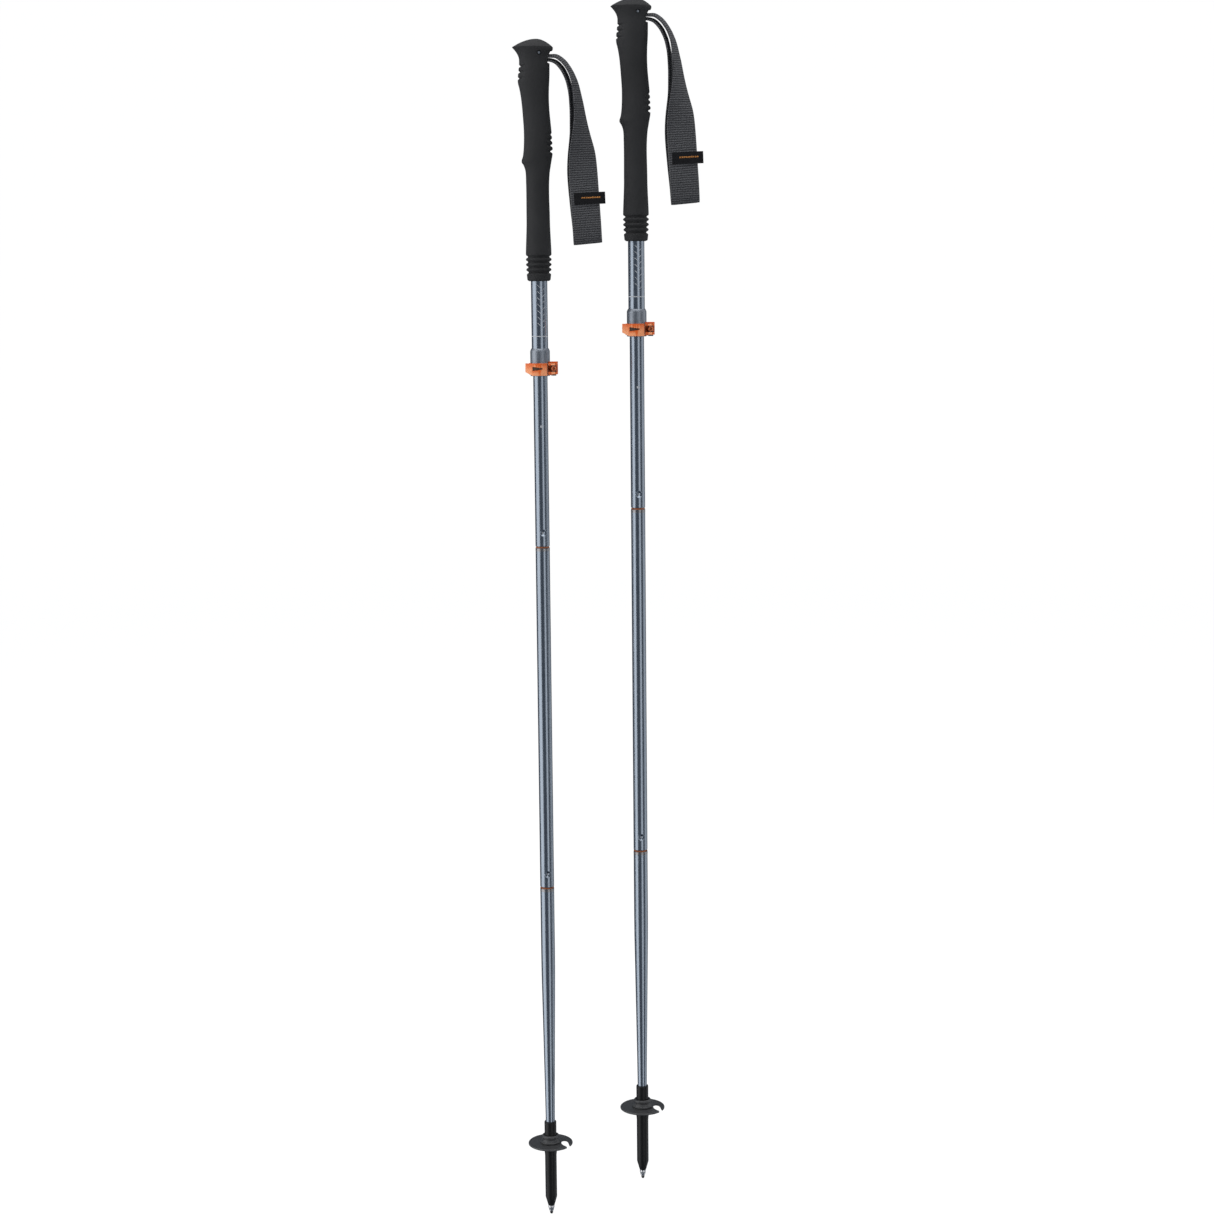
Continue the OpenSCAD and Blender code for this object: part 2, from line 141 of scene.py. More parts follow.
# %% Mesh helpers
def add_object(name, vertices, faces, sharp_deg=40):
    mesh = bpy.data.meshes.new(name)
    mesh.from_pydata(vertices, [], faces)
    mesh.validate()
    mesh.polygons.foreach_set("use_smooth", np.ones(len(mesh.polygons), bool))
    mesh.set_sharp_from_angle(angle=math.radians(sharp_deg))
    obj = bpy.data.objects.new(name, mesh)
    bpy.context.scene.collection.objects.link(obj)
    return obj


def ring_stack(name, rings, loop=False, uv=None, sharp_deg=40):
    """A closed mesh from rings[i, j]: ring i's point j joins points j+1 and ring i+1.

    With loop the last ring joins the first. Otherwise each end is closed by a fan to its
    own middle. uv[i, j] is written with one more column than the rings, for the seam.
    """
    rows, around = rings.shape[:2]
    i = np.arange(rows if loop else rows - 1)[:, None]
    j = np.arange(around)[None, :]
    nxt = (i + 1) % rows
    right = (j + 1) % around
    quads = np.stack([i * around + j, i * around + right,
                      nxt * around + right, nxt * around + j], -1).reshape(-1, 4)
    vertices = rings.reshape(-1, 3)
    faces = quads.tolist()
    if not loop:
        first, last = len(vertices), len(vertices) + 1
        vertices = np.vstack([vertices, rings[0].mean(0), rings[-1].mean(0)])
        top = (rows - 1) * around
        ring = np.arange(around)
        step = (ring + 1) % around
        faces += np.stack([step, ring, np.full(around, first)], -1).tolist()
        faces += np.stack([ring + top, step + top, np.full(around, last)], -1).tolist()
    obj = add_object(name, vertices, faces, sharp_deg)
    if uv is not None:
        corner = np.zeros((len(obj.data.loops), 2))
        spot = np.stack([i * (around + 1) + j, i * (around + 1) + j + 1,
                         nxt * (around + 1) + j + 1, nxt * (around + 1) + j], -1)
        corner[: quads.size] = uv.reshape(-1, 2)[spot.reshape(-1)]
        obj.data.uv_layers.new(name="UVMap").data.foreach_set("uv", corner.ravel())
    return obj


def smooth_curve(x, knots):
    """The height at x of a smooth curve through knots [(x, y), ...], a cubic in each gap."""
    xs, ys = np.array(knots, float).T
    slope = np.gradient(ys, xs)
    k = np.clip(np.searchsorted(xs, x) - 1, 0, len(xs) - 2)
    gap = xs[k + 1] - xs[k]
    t = np.clip((x - xs[k]) / gap, 0, 1)
    return ((2 * t**3 - 3 * t**2 + 1) * ys[k] + (t**3 - 2 * t**2 + t) * gap * slope[k]
            + (3 * t**2 - 2 * t**3) * ys[k + 1] + (t**3 - t**2) * gap * slope[k + 1])


def revolve(name, pole, profile, around=96, loop=True, sharp_deg=40):
    """A profile [(radius, height), ...] in millimetres turned about the pole's axis.

    Each point of the profile becomes a circle: x = radius cos a, y = radius sin a.
    """
    radius, height = np.array(profile, float).T
    angle = np.linspace(0, 2 * math.pi, around, endpoint=False)
    rings = np.stack([radius[:, None] * np.cos(angle), radius[:, None] * np.sin(angle),
                      np.repeat(height[:, None], around, 1)], -1)
    return ring_stack(pole.name(name), pole.place(rings), loop=loop, sharp_deg=sharp_deg)


def finish_mesh(obj):
    """Applies an object's modifiers by taking the mesh that they make."""
    bpy.context.view_layer.update()
    graph = bpy.context.evaluated_depsgraph_get()
    mesh = bpy.data.meshes.new_from_object(obj.evaluated_get(graph))
    obj.modifiers.clear()
    obj.data = mesh
    return obj


def cut(obj, *cutters):
    """Takes the cutters' shapes out of obj, and removes the cutters."""
    for cutter in cutters:
        step = obj.modifiers.new("cut", "BOOLEAN")
        step.object = cutter
        step.operation = "DIFFERENCE"
        step.solver = "EXACT"
        finish_mesh(obj)
        bpy.data.objects.remove(cutter)
    return obj


def prism(name, pole, outline, low, high):
    """An outline in the XY plane, counterclockwise, between two heights, in millimetres."""
    outline = np.asarray(outline, float)
    n = len(outline)
    low = np.broadcast_to(np.asarray(low, float), n)
    high = np.broadcast_to(np.asarray(high, float), n)
    points = np.vstack([np.column_stack([outline, low]), np.column_stack([outline, high])])
    k = np.arange(n)
    step = (k + 1) % n
    sides = np.stack([k, step, n + step, n + k], -1).tolist()
    faces = [k[::-1].tolist(), (k + n).tolist()] + sides
    return add_object(name, pole.place(points), faces, 30)


def dress(obj, pole, body, material, slot, *nodes):
    """Gives a finished piece its material and its body, and hides the nodes it stands for. The slot
    is not used.
    """
    obj.data.materials.clear()
    obj.data.materials.append(material)
    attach(obj, f"{pole.side}_{body}")
    if nodes:
        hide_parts(*[pole.name(node) for node in nodes])
    return obj


print("helpers ready")

# %% [markdown]
# ## Effects that several materials share
#
# Each effect is a node group: a small set of nodes with named inputs and outputs. Grain
# gives an uneven surface its height and its mottling. Wear finds the edges of a piece, where
# hands and rocks polish it.


# %% Node helpers
def new_group(name, inputs, outputs):
    group = bpy.data.node_groups.new(name, "ShaderNodeTree")
    for label, value in inputs.items():
        socket = group.interface.new_socket(label, in_out="INPUT", socket_type="NodeSocketFloat")
        socket.default_value = value
    for label, kind in outputs.items():
        group.interface.new_socket(label, in_out="OUTPUT", socket_type=kind)
    return group, group.nodes.new("NodeGroupInput"), group.nodes.new("NodeGroupOutput")


def node(tree, kind, links=None, **settings):
    """A node with its settings, and its inputs linked to other nodes' outputs or given values."""
    made = tree.nodes.new(kind)
    for key, value in settings.items():
        setattr(made, key, value)
    for key, value in (links or {}).items():
        if isinstance(value, bpy.types.NodeSocket):
            tree.links.new(value, made.inputs[key])
        else:
            made.inputs[key].default_value = value
    return made


def maths(tree, operation, a, b=0.5, c=0.5):
    return node(tree, "ShaderNodeMath", {0: a, 1: b, 2: c}, operation=operation).outputs[0]


def grain_group():
    """Grain: two layers of noise, coarse and fine, as a height, and a slow mottle as a mask."""
    tree, given, out = new_group("grain", {"Coarse": 900.0, "Fine": 3500.0, "Mottle": 30.0},
                                 {"Height": "NodeSocketFloat", "Mottle": "NodeSocketFloat"})
    place = node(tree, "ShaderNodeTexCoord").outputs["Object"]
    layers = [node(tree, "ShaderNodeTexNoise",
                   {"Vector": place, "Scale": given.outputs[key], "Detail": 3.0}).outputs["Fac"]
              for key in ("Coarse", "Fine", "Mottle")]
    height = maths(tree, "MULTIPLY_ADD", layers[0], 0.65, maths(tree, "MULTIPLY", layers[1], 0.35))
    tree.links.new(height, out.inputs["Height"])
    tree.links.new(layers[2], out.inputs["Mottle"])
    return tree


def wear_group():
    """Wear: bright where an edge sticks out, broken up by noise, as a mask from 0 to 1."""
    tree, given, out = new_group("wear", {"Start": 0.53, "Patches": 180.0},
                                 {"Mask": "NodeSocketFloat"})
    edge = node(tree, "ShaderNodeNewGeometry").outputs["Pointiness"]
    place = node(tree, "ShaderNodeTexCoord").outputs["Object"]
    noise = node(tree, "ShaderNodeTexNoise",
                 {"Vector": place, "Scale": given.outputs["Patches"], "Detail": 4.0}).outputs["Fac"]
    over = maths(tree, "SUBTRACT", edge, given.outputs["Start"])
    shown = maths(tree, "MULTIPLY", maths(tree, "MULTIPLY", over, 14.0), noise)
    clamp = node(tree, "ShaderNodeClamp", {"Value": shown})
    tree.links.new(clamp.outputs[0], out.inputs["Mask"])
    return tree


GRAIN, WEAR = grain_group(), wear_group()
print("groups:", GRAIN.name, WEAR.name)

# %% [markdown]
# ## Materials
#
# Every finish is one function. Colours that vary over the surface go through nodes, and
# numbers that are the same all over are set on the shader itself.


# %% Material helpers
def new_material(name, **settings):
    material = bpy.data.materials.new(name)
    material.use_nodes = True
    shader = material.node_tree.nodes["Principled BSDF"]
    for key, value in settings.items():
        shader.inputs[key.replace("_", " ")].default_value = value
    return material, material.node_tree, shader


def mix(tree, share, low, high):
    made = node(tree, "ShaderNodeMix", data_type="RGBA")
    for index, value in ((0, share), (6, low), (7, high)):
        if isinstance(value, bpy.types.NodeSocket):
            tree.links.new(value, made.inputs[index])
        else:
            made.inputs[index].default_value = value
    return made.outputs[2]


def grey(level_value, tint=1.0):
    return (level_value, level_value, level_value * tint, 1)


def bump(tree, shader, height, distance):
    made = node(tree, "ShaderNodeBump", {"Height": height, "Distance": distance, "Strength": 1.0})
    tree.links.new(made.outputs["Normal"], shader.inputs["Normal"])


def grained(name, dark, light, coarse, fine, depth, worn=None, start=0.53, **settings):
    """A grained finish: mottled between two colours, with a bump and, if asked, worn edges."""
    material, tree, shader = new_material(name, **settings)
    grain = node(tree, "ShaderNodeGroup", node_tree=GRAIN)
    grain.inputs["Coarse"].default_value = coarse
    grain.inputs["Fine"].default_value = fine
    colour = mix(tree, grain.outputs["Mottle"], dark, light)
    if worn:
        wear = node(tree, "ShaderNodeGroup", node_tree=WEAR)
        wear.inputs["Start"].default_value = start
        colour = mix(tree, wear.outputs["Mask"], colour, worn)
    tree.links.new(colour, shader.inputs["Base Color"])
    bump(tree, shader, grain.outputs["Height"], depth)
    return material


def anodised(name, dark, light, roughness):
    """Drawn tube: streaks run along it, faint in colour and in gloss."""
    material, tree, shader = new_material(name, Metallic=1.0, Roughness=roughness)
    place = node(tree, "ShaderNodeTexCoord").outputs["Object"]
    stretch = node(tree, "ShaderNodeMapping", {"Vector": place, "Scale": (700, 700, 9)})
    streak = node(tree, "ShaderNodeTexNoise",
                  {"Vector": stretch.outputs[0], "Scale": 1.0, "Detail": 4.0}).outputs["Fac"]
    cloud = node(tree, "ShaderNodeTexNoise",
                 {"Vector": place, "Scale": 40.0, "Detail": 3.0}).outputs["Fac"]
    share = maths(tree, "MULTIPLY_ADD", streak, 0.6, maths(tree, "MULTIPLY", cloud, 0.4))
    tree.links.new(mix(tree, share, dark, light), shader.inputs["Base Color"])
    rough = maths(tree, "MULTIPLY_ADD", cloud, 0.08, roughness - 0.04)
    tree.links.new(rough, shader.inputs["Roughness"])
    return material


def woven(name, dark, light, rib, thread, depth, edge=None):
    """Ribbed webbing on its own UV map: u across and v along, both in metres.

    Height is a row of half circles across (ribs) times finer threads along.
    """
    material, tree, shader = new_material(name, Roughness=0.85, Specular_IOR_Level=0.2)
    uv = node(tree, "ShaderNodeUVMap", uv_map="UVMap").outputs["UV"]
    parts = node(tree, "ShaderNodeSeparateXYZ", {0: uv})
    across, along = parts.outputs[0], parts.outputs[1]
    wobble = node(tree, "ShaderNodeTexNoise", {"Vector": uv, "Scale": 220.0}).outputs["Fac"]
    shift = maths(tree, "MULTIPLY", wobble, 2.2)
    ribs = maths(tree, "ABSOLUTE", maths(tree, "SINE", maths(
        tree, "MULTIPLY_ADD", along, math.pi / rib, shift)))
    threads = maths(tree, "ABSOLUTE", maths(tree, "SINE", maths(
        tree, "MULTIPLY_ADD", across, math.pi / thread, shift)))
    height = maths(tree, "MULTIPLY_ADD", ribs, 0.7, maths(tree, "MULTIPLY", threads, 0.3))
    fuzz = node(tree, "ShaderNodeTexNoise", {"Vector": uv, "Scale": 1800.0}).outputs["Fac"]
    share = maths(tree, "MULTIPLY", height, maths(tree, "MULTIPLY_ADD", fuzz, 0.9, 0.35))
    colour = mix(tree, share, dark, light)
    # With edge, the strips past its half width take its colour: a painted highlight along the
    # webbing's bound edges.
    if edge:
        half, lit = edge
        side = maths(tree, "GREATER_THAN", maths(tree, "ABSOLUTE", across), half)
        colour = mix(tree, side, colour, lit)
    tree.links.new(colour, shader.inputs["Base Color"])
    bump(tree, shader, height, depth)
    return material


# %% Materials
FOAM = grained("foam", grey(0.017), grey(0.030, 1.05), 1400, 5200, 0.00025,
               worn=grey(0.04), start=0.56, Roughness=0.8, Specular_IOR_Level=0.3)
HARD_BLACK = grained("moulded_black", grey(0.004), grey(0.008), 1800, 6000, 0.00006,
                     worn=grey(0.04), Roughness=0.42, Specular_IOR_Level=0.25)
BASKET_GREY = grained("basket_grey", grey(0.036), grey(0.056, 1.04), 1500, 5000, 0.00012,
                      worn=grey(0.13), Roughness=0.42, Specular_IOR_Level=0.45)
ORANGE = grained("orange_paint", (0.70, 0.115, 0.016, 1), (0.84, 0.155, 0.03, 1), 500, 2600,
                 0.00006, worn=(0.95, 0.36, 0.16, 1), start=0.64, Roughness=0.45,
                 Specular_IOR_Level=0.3)
# Painted shade: a dark brown for the floor of the lever's thumb mark and the walls of its screw
# window, where shade falls in those recesses.
PAINTED_SHADE_BROWN = grained("painted_recess_shade", (0.02, 0.012, 0.006, 1), (0.09, 0.045, 0.02, 1), 900, 3000,
                     0.0001, Roughness=0.6)
CONE_ORANGE = grained("orange_moulding", (0.3, 0.085, 0.025, 1), (0.4, 0.12, 0.035, 1), 900,
                      4000, 0.00004, worn=(0.6, 0.3, 0.18, 1), start=0.55, Roughness=0.45)
COLLAR_GREY = grained("collar_grey", (0.2, 0.22, 0.25, 1), (0.27, 0.29, 0.32, 1), 2600, 7000,
                      0.0001, worn=(0.5, 0.53, 0.57, 1), start=0.54, Roughness=0.42,
                      Metallic=1.0)
STEEL = grained("steel", grey(0.55), grey(0.65, 1.03), 1200, 6000, 0.00002, Roughness=0.25,
                Metallic=1.0)
# Painted reflection: the head is steel, and its orange all over is the orange lever's reflection
# painted into its colour. The pale edge colour is the bare steel rim with a painted highlight on it.
SCREW_PAINTED_REFLECTION = grained("screw_painted_reflection", (0.5, 0.13, 0.05, 1), (0.62, 0.18, 0.07, 1), 1200, 5000,
                0.00002, worn=(0.95, 0.7, 0.55, 1), start=0.6, Roughness=0.3, Metallic=0.6)
CARBIDE = grained("carbide", grey(0.05), grey(0.09), 1500, 6000, 0.00005, Roughness=0.4,
                  Metallic=0.9)
SOCKET = grained("machined_socket", grey(0.30), grey(0.38), 900, 5000, 0.00003,
                 Roughness=0.35, Metallic=0.9)
WHITE_PLASTIC = grained("white_plastic", grey(0.62), grey(0.7), 900, 4000, 0.00004,
                        Roughness=0.5)
BRASS = grained("brass", (0.5, 0.36, 0.14, 1), (0.6, 0.44, 0.2, 1), 900, 4000, 0.00003,
                Roughness=0.3, Metallic=1.0)
CORD = grained("cord_sheath", grey(0.010), grey(0.02), 2500, 7000, 0.00008, Roughness=0.55)
MARK = grained("printed_mark", (0.4, 0.42, 0.44, 1), (0.5, 0.52, 0.54, 1), 900, 4000,
               0.00001, Roughness=0.5)
TUBE = anodised("anodised_tube", (0.235, 0.27, 0.315, 1), (0.265, 0.30, 0.345, 1), 0.24)
RING_METAL = anodised("tube_end", (0.24, 0.24, 0.25, 1), (0.29, 0.285, 0.285, 1), 0.3)
# The edge colour, grey 0.13, is a painted highlight along the strap's bound edges.
WEBBING = woven("webbing", grey(0.003), grey(0.15, 1.05), 0.0022, 0.0016, 0.0008,
                edge=(0.0134, grey(0.13)))
TAPE = woven("label_tape", grey(0.004, 1.1), grey(0.012, 1.15), 0.0005, 0.0004, 0.0001)
THREAD = grained("orange_thread", (0.42, 0.16, 0.03, 1), (0.6, 0.26, 0.06, 1), 2500, 8000,
                 0.00005, Roughness=0.7)
print("materials:", len(bpy.data.materials))

# %% [markdown]
# ## Grips
#
# The grip is one moulding of foam: a round sleeve with ribs at its lower end, a bump that
# stops the hand, a waist, and a head with a beak. Its outline differs on the beak's side and
# the strap's side, so each side has its own smooth curve of height, and every level is an
# ellipse that reaches from one to the other. Finger grooves are narrow dents pressed into
# that surface.

# %% Grip shape
TUBE_HOLE = 8.14  # radius of the grip's bore round the upper tube
BEAK_SIDE = [(0, 9.4), (0.5, 10.6), (1.5, 11.4), (3, 11.6), (60, 11.5), (98, 11.5),
             (105, 11.7), (109, 12.4), (112.5, 13.8), (115.5, 15.5), (117, 15.4),
             (120.5, 14.3), (125, 13.6), (134, 13.0), (148, 13.0), (158, 13.6),
             (170, 14.5), (178, 15.4), (186, 16.8), (191, 18.0), (194, 18.2), (198, 17.9),
             (205, 17.1), (211, 16.6), (215, 16.9), (219, 18.6), (222.5, 21.1), (225, 23.4)]
STRAP_SIDE = [(0, 9.4), (0.5, 10.6), (1.5, 11.4), (3, 11.6), (60, 11.5), (100, 11.5),
              (106, 12.0), (112, 13.0), (117, 13.9), (122, 14.8), (127, 15.1), (134, 14.8),
              (144, 14.2), (155, 13.2), (166, 12.3), (176, 12.0), (186, 12.2), (196, 12.8),
              (206, 13.0), (213, 13.1), (216.5, 13.5), (219, 14.5), (221.5, 15.8),
              (223.6, 16.5), (225, 16.3)]
DEPTH = [(0, 9.4), (0.5, 10.6), (1.5, 11.4), (3, 11.6), (60, 11.5), (100, 11.5),
         (110, 12.3), (118, 12.9), (134, 13.0), (160, 13.3), (190, 13.7), (206, 13.2),
         (215, 13.2), (219, 13.8), (222.5, 14.4), (225, 14.5)]
RIM = 225.0  # the beak's level above the grip's lower end
RING_GROOVES = [8.6, 13.6, 18.6, 23.6]
FINGER_GROOVES = [(195.2, 1.5), (201.3, 1.7), (206.9, 1.7)]
PALM_GROOVES = [(125.4, 2.4), (131.0, 1.9), (136.2, 1.5), (141.5, 1.0)]


def grip_dents(up, angle):
    """How far the surface is pressed in, at a height and an angle, in millimetres.

    Ring grooves go all the way round. Finger grooves fade out from the beak's side
    (half a turn), and palm grooves from the strap's side (angle 0).
    """
    dent = sum(2.1 * np.exp(-np.abs((up - z) / 1.25) ** 2.4) for z in RING_GROOVES)
    beak = np.exp(-(np.abs(np.abs(angle) - math.pi) / 0.85) ** 4)
    palm = np.exp(-(np.abs(angle) / 0.75) ** 4)
    dent = dent + sum(d * beak * np.exp(-np.abs((up - z) / 0.95) ** 2.2)
                      for z, d in FINGER_GROOVES)
    return dent + sum(d * palm * np.exp(-np.abs((up - z) / 1.15) ** 2.2)
                      for z, d in PALM_GROOVES)


def grip_rings(around=168):
    """Rings from the bore's top down to the lower end, up the outside and over the head."""
    height = GRIP_TOP - GRIP_LOW
    angle = np.linspace(-math.pi, math.pi, around, endpoint=False)
    up = np.concatenate([np.linspace(0, 4, 14), np.arange(4.4, 27, 0.4),
                         np.arange(28, 104, 2.0), np.arange(105, 122, 0.7),
                         np.arange(122, 144, 0.4), np.arange(145, 191, 1.2),
                         np.arange(191.4, 210, 0.4), np.arange(210.8, RIM, 0.6), [RIM]])
    over = np.linspace(0.985, 0.02, 34)
    level_up = np.concatenate([up, height - (height - RIM) * over**1.9])
    shrink = np.concatenate([np.ones(len(up)), over])
    beak = smooth_curve(np.minimum(level_up, RIM), BEAK_SIDE) * shrink
    strap = smooth_curve(np.minimum(level_up, RIM), STRAP_SIDE) * shrink
    depth = smooth_curve(np.minimum(level_up, RIM), DEPTH) * shrink
    dent = grip_dents(level_up[:, None], angle[None, :])
    reach = (strap + beak)[:, None] / 2 - dent
    x = (strap - beak)[:, None] / 2 + reach * np.cos(angle)
    y = (depth[:, None] - dent) * np.sin(angle)
    z = GRIP_LOW + level_up[:, None] + 0 * angle
    outside = np.stack([x, y, z], -1)
    bore = np.array([level("upper_tube", 1) + 0.5, GRIP_LOW])
    inside = np.stack([TUBE_HOLE * np.cos(angle) + 0 * bore[:, None],
                       TUBE_HOLE * np.sin(angle) + 0 * bore[:, None],
                       bore[:, None] + 0 * angle], -1)
    return np.concatenate([inside, outside])


def box_cutter(pole, low, high):
    (x0, y0, z0), (x1, y1, z1) = low, high
    return prism("cutter", pole, [(x0, y0), (x1, y0), (x1, y1), (x0, y1)], z0, z1)


def cylinder_cutter(pole, centre, radius, half_length, around=40):
    """A cylinder along Y, as rings that grow along -Y."""
    a = np.linspace(0, 2 * math.pi, around, endpoint=False)
    y = np.array([centre[1] + half_length, centre[1] - half_length])[:, None]
    rings = np.stack([centre[0] + radius * np.cos(a) + 0 * y, y + 0 * a,
                      centre[2] + radius * np.sin(a) + 0 * y], -1)
    return ring_stack("cutter", pole.place(rings))


PIN_AT = (3.2, GRIP_TOP - 14)
SLOT_LOW, SLOT_HIGH = GRIP_TOP - 23.5, GRIP_TOP - 11.5


def build_grip(pole):
    grip = ring_stack(pole.name("grip_foam"), pole.place(grip_rings()), sharp_deg=60)
    cut(grip, box_cutter(pole, (6, -6.6, SLOT_LOW), (24, 6.6, SLOT_HIGH)),
        cylinder_cutter(pole, (PIN_AT[0], -14, PIN_AT[1]), 2.2, 3),
        cylinder_cutter(pole, (PIN_AT[0], 14, PIN_AT[1]), 2.2, 3))
    grip.data.polygons.foreach_set("use_smooth", np.ones(len(grip.data.polygons), bool))
    grip.data.set_sharp_from_angle(angle=math.radians(50))
    dress(grip, pole, "upper", FOAM, "grip_foam", "grip")
    return grip


for pole in POLES:
    made = build_grip(pole)
    print(made.name, len(made.data.polygons), "faces")

# %% [markdown]
# ## Tubes
#
# A drawn tube is a plain surface, so its small features matter: the crimped dimple that
# holds the socket inside, the slightly rounded ends, and the taper of the lowest tube. The
# dimple is a hollow pressed into the same surface: radius falls evenly towards its middle,
# as a cone with a round point, and the bore's wall is pressed in with it.

# %% Tubes
DIMPLE_TURN = math.radians(-82)
DIMPLE_UP = 13.8
DIMPLE_DEEP = 2.7
DIMPLE_WIDE = 3.3
WALL = 0.7
TUBE_EDGE = 0.22  # how far each end of a tube is rounded in


def tube_rows(low, high, dimple=None):
    rows = [np.linspace(low, high, max(2, int((high - low) / 20)))]
    if dimple:
        rows.append(np.arange(dimple - 4.4, dimple + 4.4, 0.22))
    return np.unique(np.concatenate(rows))


def build_tube(pole, name, body, node_name, radius_at, low, high, bore, dimple=None,
               around=144):
    """A tube from low to high whose outer radius is radius_at(height), with a bore."""
    z = tube_rows(low + 0.35, high - 0.35, dimple)
    angle = np.linspace(0, 2 * math.pi, around, endpoint=False)
    radius = radius_at(z)[:, None] + 0 * angle
    if dimple:
        turn = (angle - DIMPLE_TURN + math.pi) % (2 * math.pi) - math.pi
        off = np.hypot((z - dimple)[:, None], radius * turn) / DIMPLE_WIDE
        radius = radius - DIMPLE_DEEP * np.clip(1.06 - np.sqrt(off**2 + 0.02), 0, 1)
    flat = np.ones((1, around))
    rings = np.vstack([flat * bore, flat * (radius_at(low) - TUBE_EDGE), radius,
                       flat * (radius_at(high) - TUBE_EDGE), flat * bore])
    heights = np.concatenate([[low, low], z, [high, high]])
    if dimple:
        rings = np.vstack([rings, np.minimum(bore, radius - WALL)[::-1]])
        heights = np.concatenate([heights, z[::-1]])
    heights = heights[:, None]
    points = np.stack([rings * np.cos(angle), rings * np.sin(angle), heights + 0 * angle], -1)
    tube = ring_stack(pole.name(name), pole.place(points), loop=True, sharp_deg=28)
    return dress(tube, pole, body, TUBE, "tube_anodised", node_name)


UPPER_R = 8.1
TUBE_R = 7.1
BORE = 6.35
TAPER_TOP, TAPER_LOW, LOW_R = 270.0, 112.0, 4.8


def taper(z):
    return np.interp(z, [TAPER_LOW, TAPER_TOP], [LOW_R, TUBE_R])


def plain(radius):
    return lambda z: radius + 0 * np.asarray(z, float)


for pole in POLES:
    build_tube(pole, "upper_tube_skin", "upper", "upper_tube", plain(UPPER_R),
               level("upper_tube", 0), level("upper_tube", 1), UPPER_R - 0.65)
    build_tube(pole, "slide_tube_skin", "slide", "slide_tube", plain(TUBE_R), HIGH_JOINT,
               level("slide_tube", 1), BORE, HIGH_JOINT + DIMPLE_UP)
    build_tube(pole, "middle_tube_skin", "middle", "middle_tube", plain(TUBE_R), LOW_JOINT,
               level("middle_tube", 1), BORE, LOW_JOINT + DIMPLE_UP)
    build_tube(pole, "lower_tube_skin", "lower", "lower_tube", taper, level("lower_tube", 0),
               level("lower_tube", 1), LOW_R - 0.75)
print("tubes: 4 a pole")

# %% [markdown]
# ## Folding joints
#
# Each joint shows as a dark gap, a thin orange shoulder and a plain metal band where the
# next tube's end is sleeved. The nose cone above the shoulder is hidden at rest, and shows
# when the pole is folded.

# %% Joint pieces
NOSE_R, NOSE_H, FOLD_OUT = 5.3, 11.0, 12.0


def nose_profile(joint):
    """Bore, stem, flange with a groove, and a flank that is an arc about the fold's line."""
    rise = np.linspace(0, NOSE_H, 14)
    flank = np.sqrt((FOLD_OUT + NOSE_R) ** 2 - rise**2) - FOLD_OUT
    return ([(1.23, joint + NOSE_H), (1.23, joint - 23.7), (6.3, joint - 23.7),
             (6.3, joint - 1.65), (6.7, joint - 1.6), (6.75, joint - 1.3),
             (7.0, joint - 1.2), (7.0, joint - 0.9), (6.85, joint - 0.8), (6.2, joint - 0.75),
             (6.2, joint - 0.1), (5.3, joint - 0.1)]
            + list(zip(flank, joint + rise)))


for pole in POLES:
    for body, joint, cone in (("middle", HIGH_JOINT, "upper_cone"),
                              ("lower", LOW_JOINT, "lower_cone")):
        nose = revolve(f"{cone}_nose", pole, nose_profile(joint), sharp_deg=25)
        dress(nose, pole, body, CONE_ORANGE, "cone_orange", cone)
        band = revolve(f"{body}_end_band", pole,
                       [(TUBE_R - 0.2, joint - 4.9), (TUBE_R + 0.05, joint - 4.8),
                        (TUBE_R + 0.07, joint - 4.6), (TUBE_R + 0.07, joint - 1.9),
                        (TUBE_R - 0.2, joint - 1.72)])
        dress(band, pole, body, RING_METAL, "socket_alloy")
print("joint pieces: 2 cones and 2 bands a pole")

# %% [markdown]
# ## Clamp
#
# The collar is turned from aluminium with a wide bevel at its top. The lever is a curved
# arm with a fork at its pivot: an outline seen from above, given a height, with a window cut
# for the screw and a shallow mark for the thumb. A bevel rounds every edge, because real
# painted castings have no sharp ones.

# %% Clamp
PIVOT = np.array([13.6, -10.0])
ARM_CENTRE = (2, 10)
ARM_OUTER, ARM_INNER = 24, 21.2
LEVER_LOW, LEVER_HIGH = COLLAR_LOW + 0.6, COLLAR_LOW + 12.6
WINDOW = (COLLAR_LOW + 4.4, COLLAR_LOW + 10.8)
SCREW_UP = sum(WINDOW) / 2


def arc(centre, radius, start_deg, end_deg, count):
    a = np.radians(np.linspace(start_deg, end_deg, count))
    return np.column_stack([centre[0] + radius * np.cos(a), centre[1] + radius * np.sin(a)])


def lever_outline():
    """Counterclockwise from the thumb end: outer arc, boss round the pivot, inner arc."""
    outer = arc(ARM_CENTRE, ARM_OUTER, 226.5, 292, 30)
    boss = arc(PIVOT + (0, 0.2), 3.9, -75, 125, 22)
    inner = arc((0, 0), 11.45, 309, 246, 16)
    back = arc(ARM_CENTRE, ARM_INNER, 246, 221, 10)
    return np.vstack([outer, boss, inner, back])


def mark_band(outer, inner):
    """The lever's mark from above, between two arcs about the arm's own centre."""
    return np.vstack([arc(ARM_CENTRE, outer, 246.8, 271.5, 14),
                      arc(ARM_CENTRE, inner, 271.5, 246.8, 14)])


def mark_edges(more):
    """The mark's lower and upper edges: an arrow that narrows to the right, wavy on top."""
    x = mark_band(24, 23)[:, 0]
    share = (x - x.min()) / (x.max() - x.min())
    half = 1.75 * (1 - share) ** 0.6 + 0.35
    wave = 0.35 * np.sin(share * 14)
    return SCREW_UP - half - 0.2 - more, SCREW_UP + half * 0.8 + wave + more


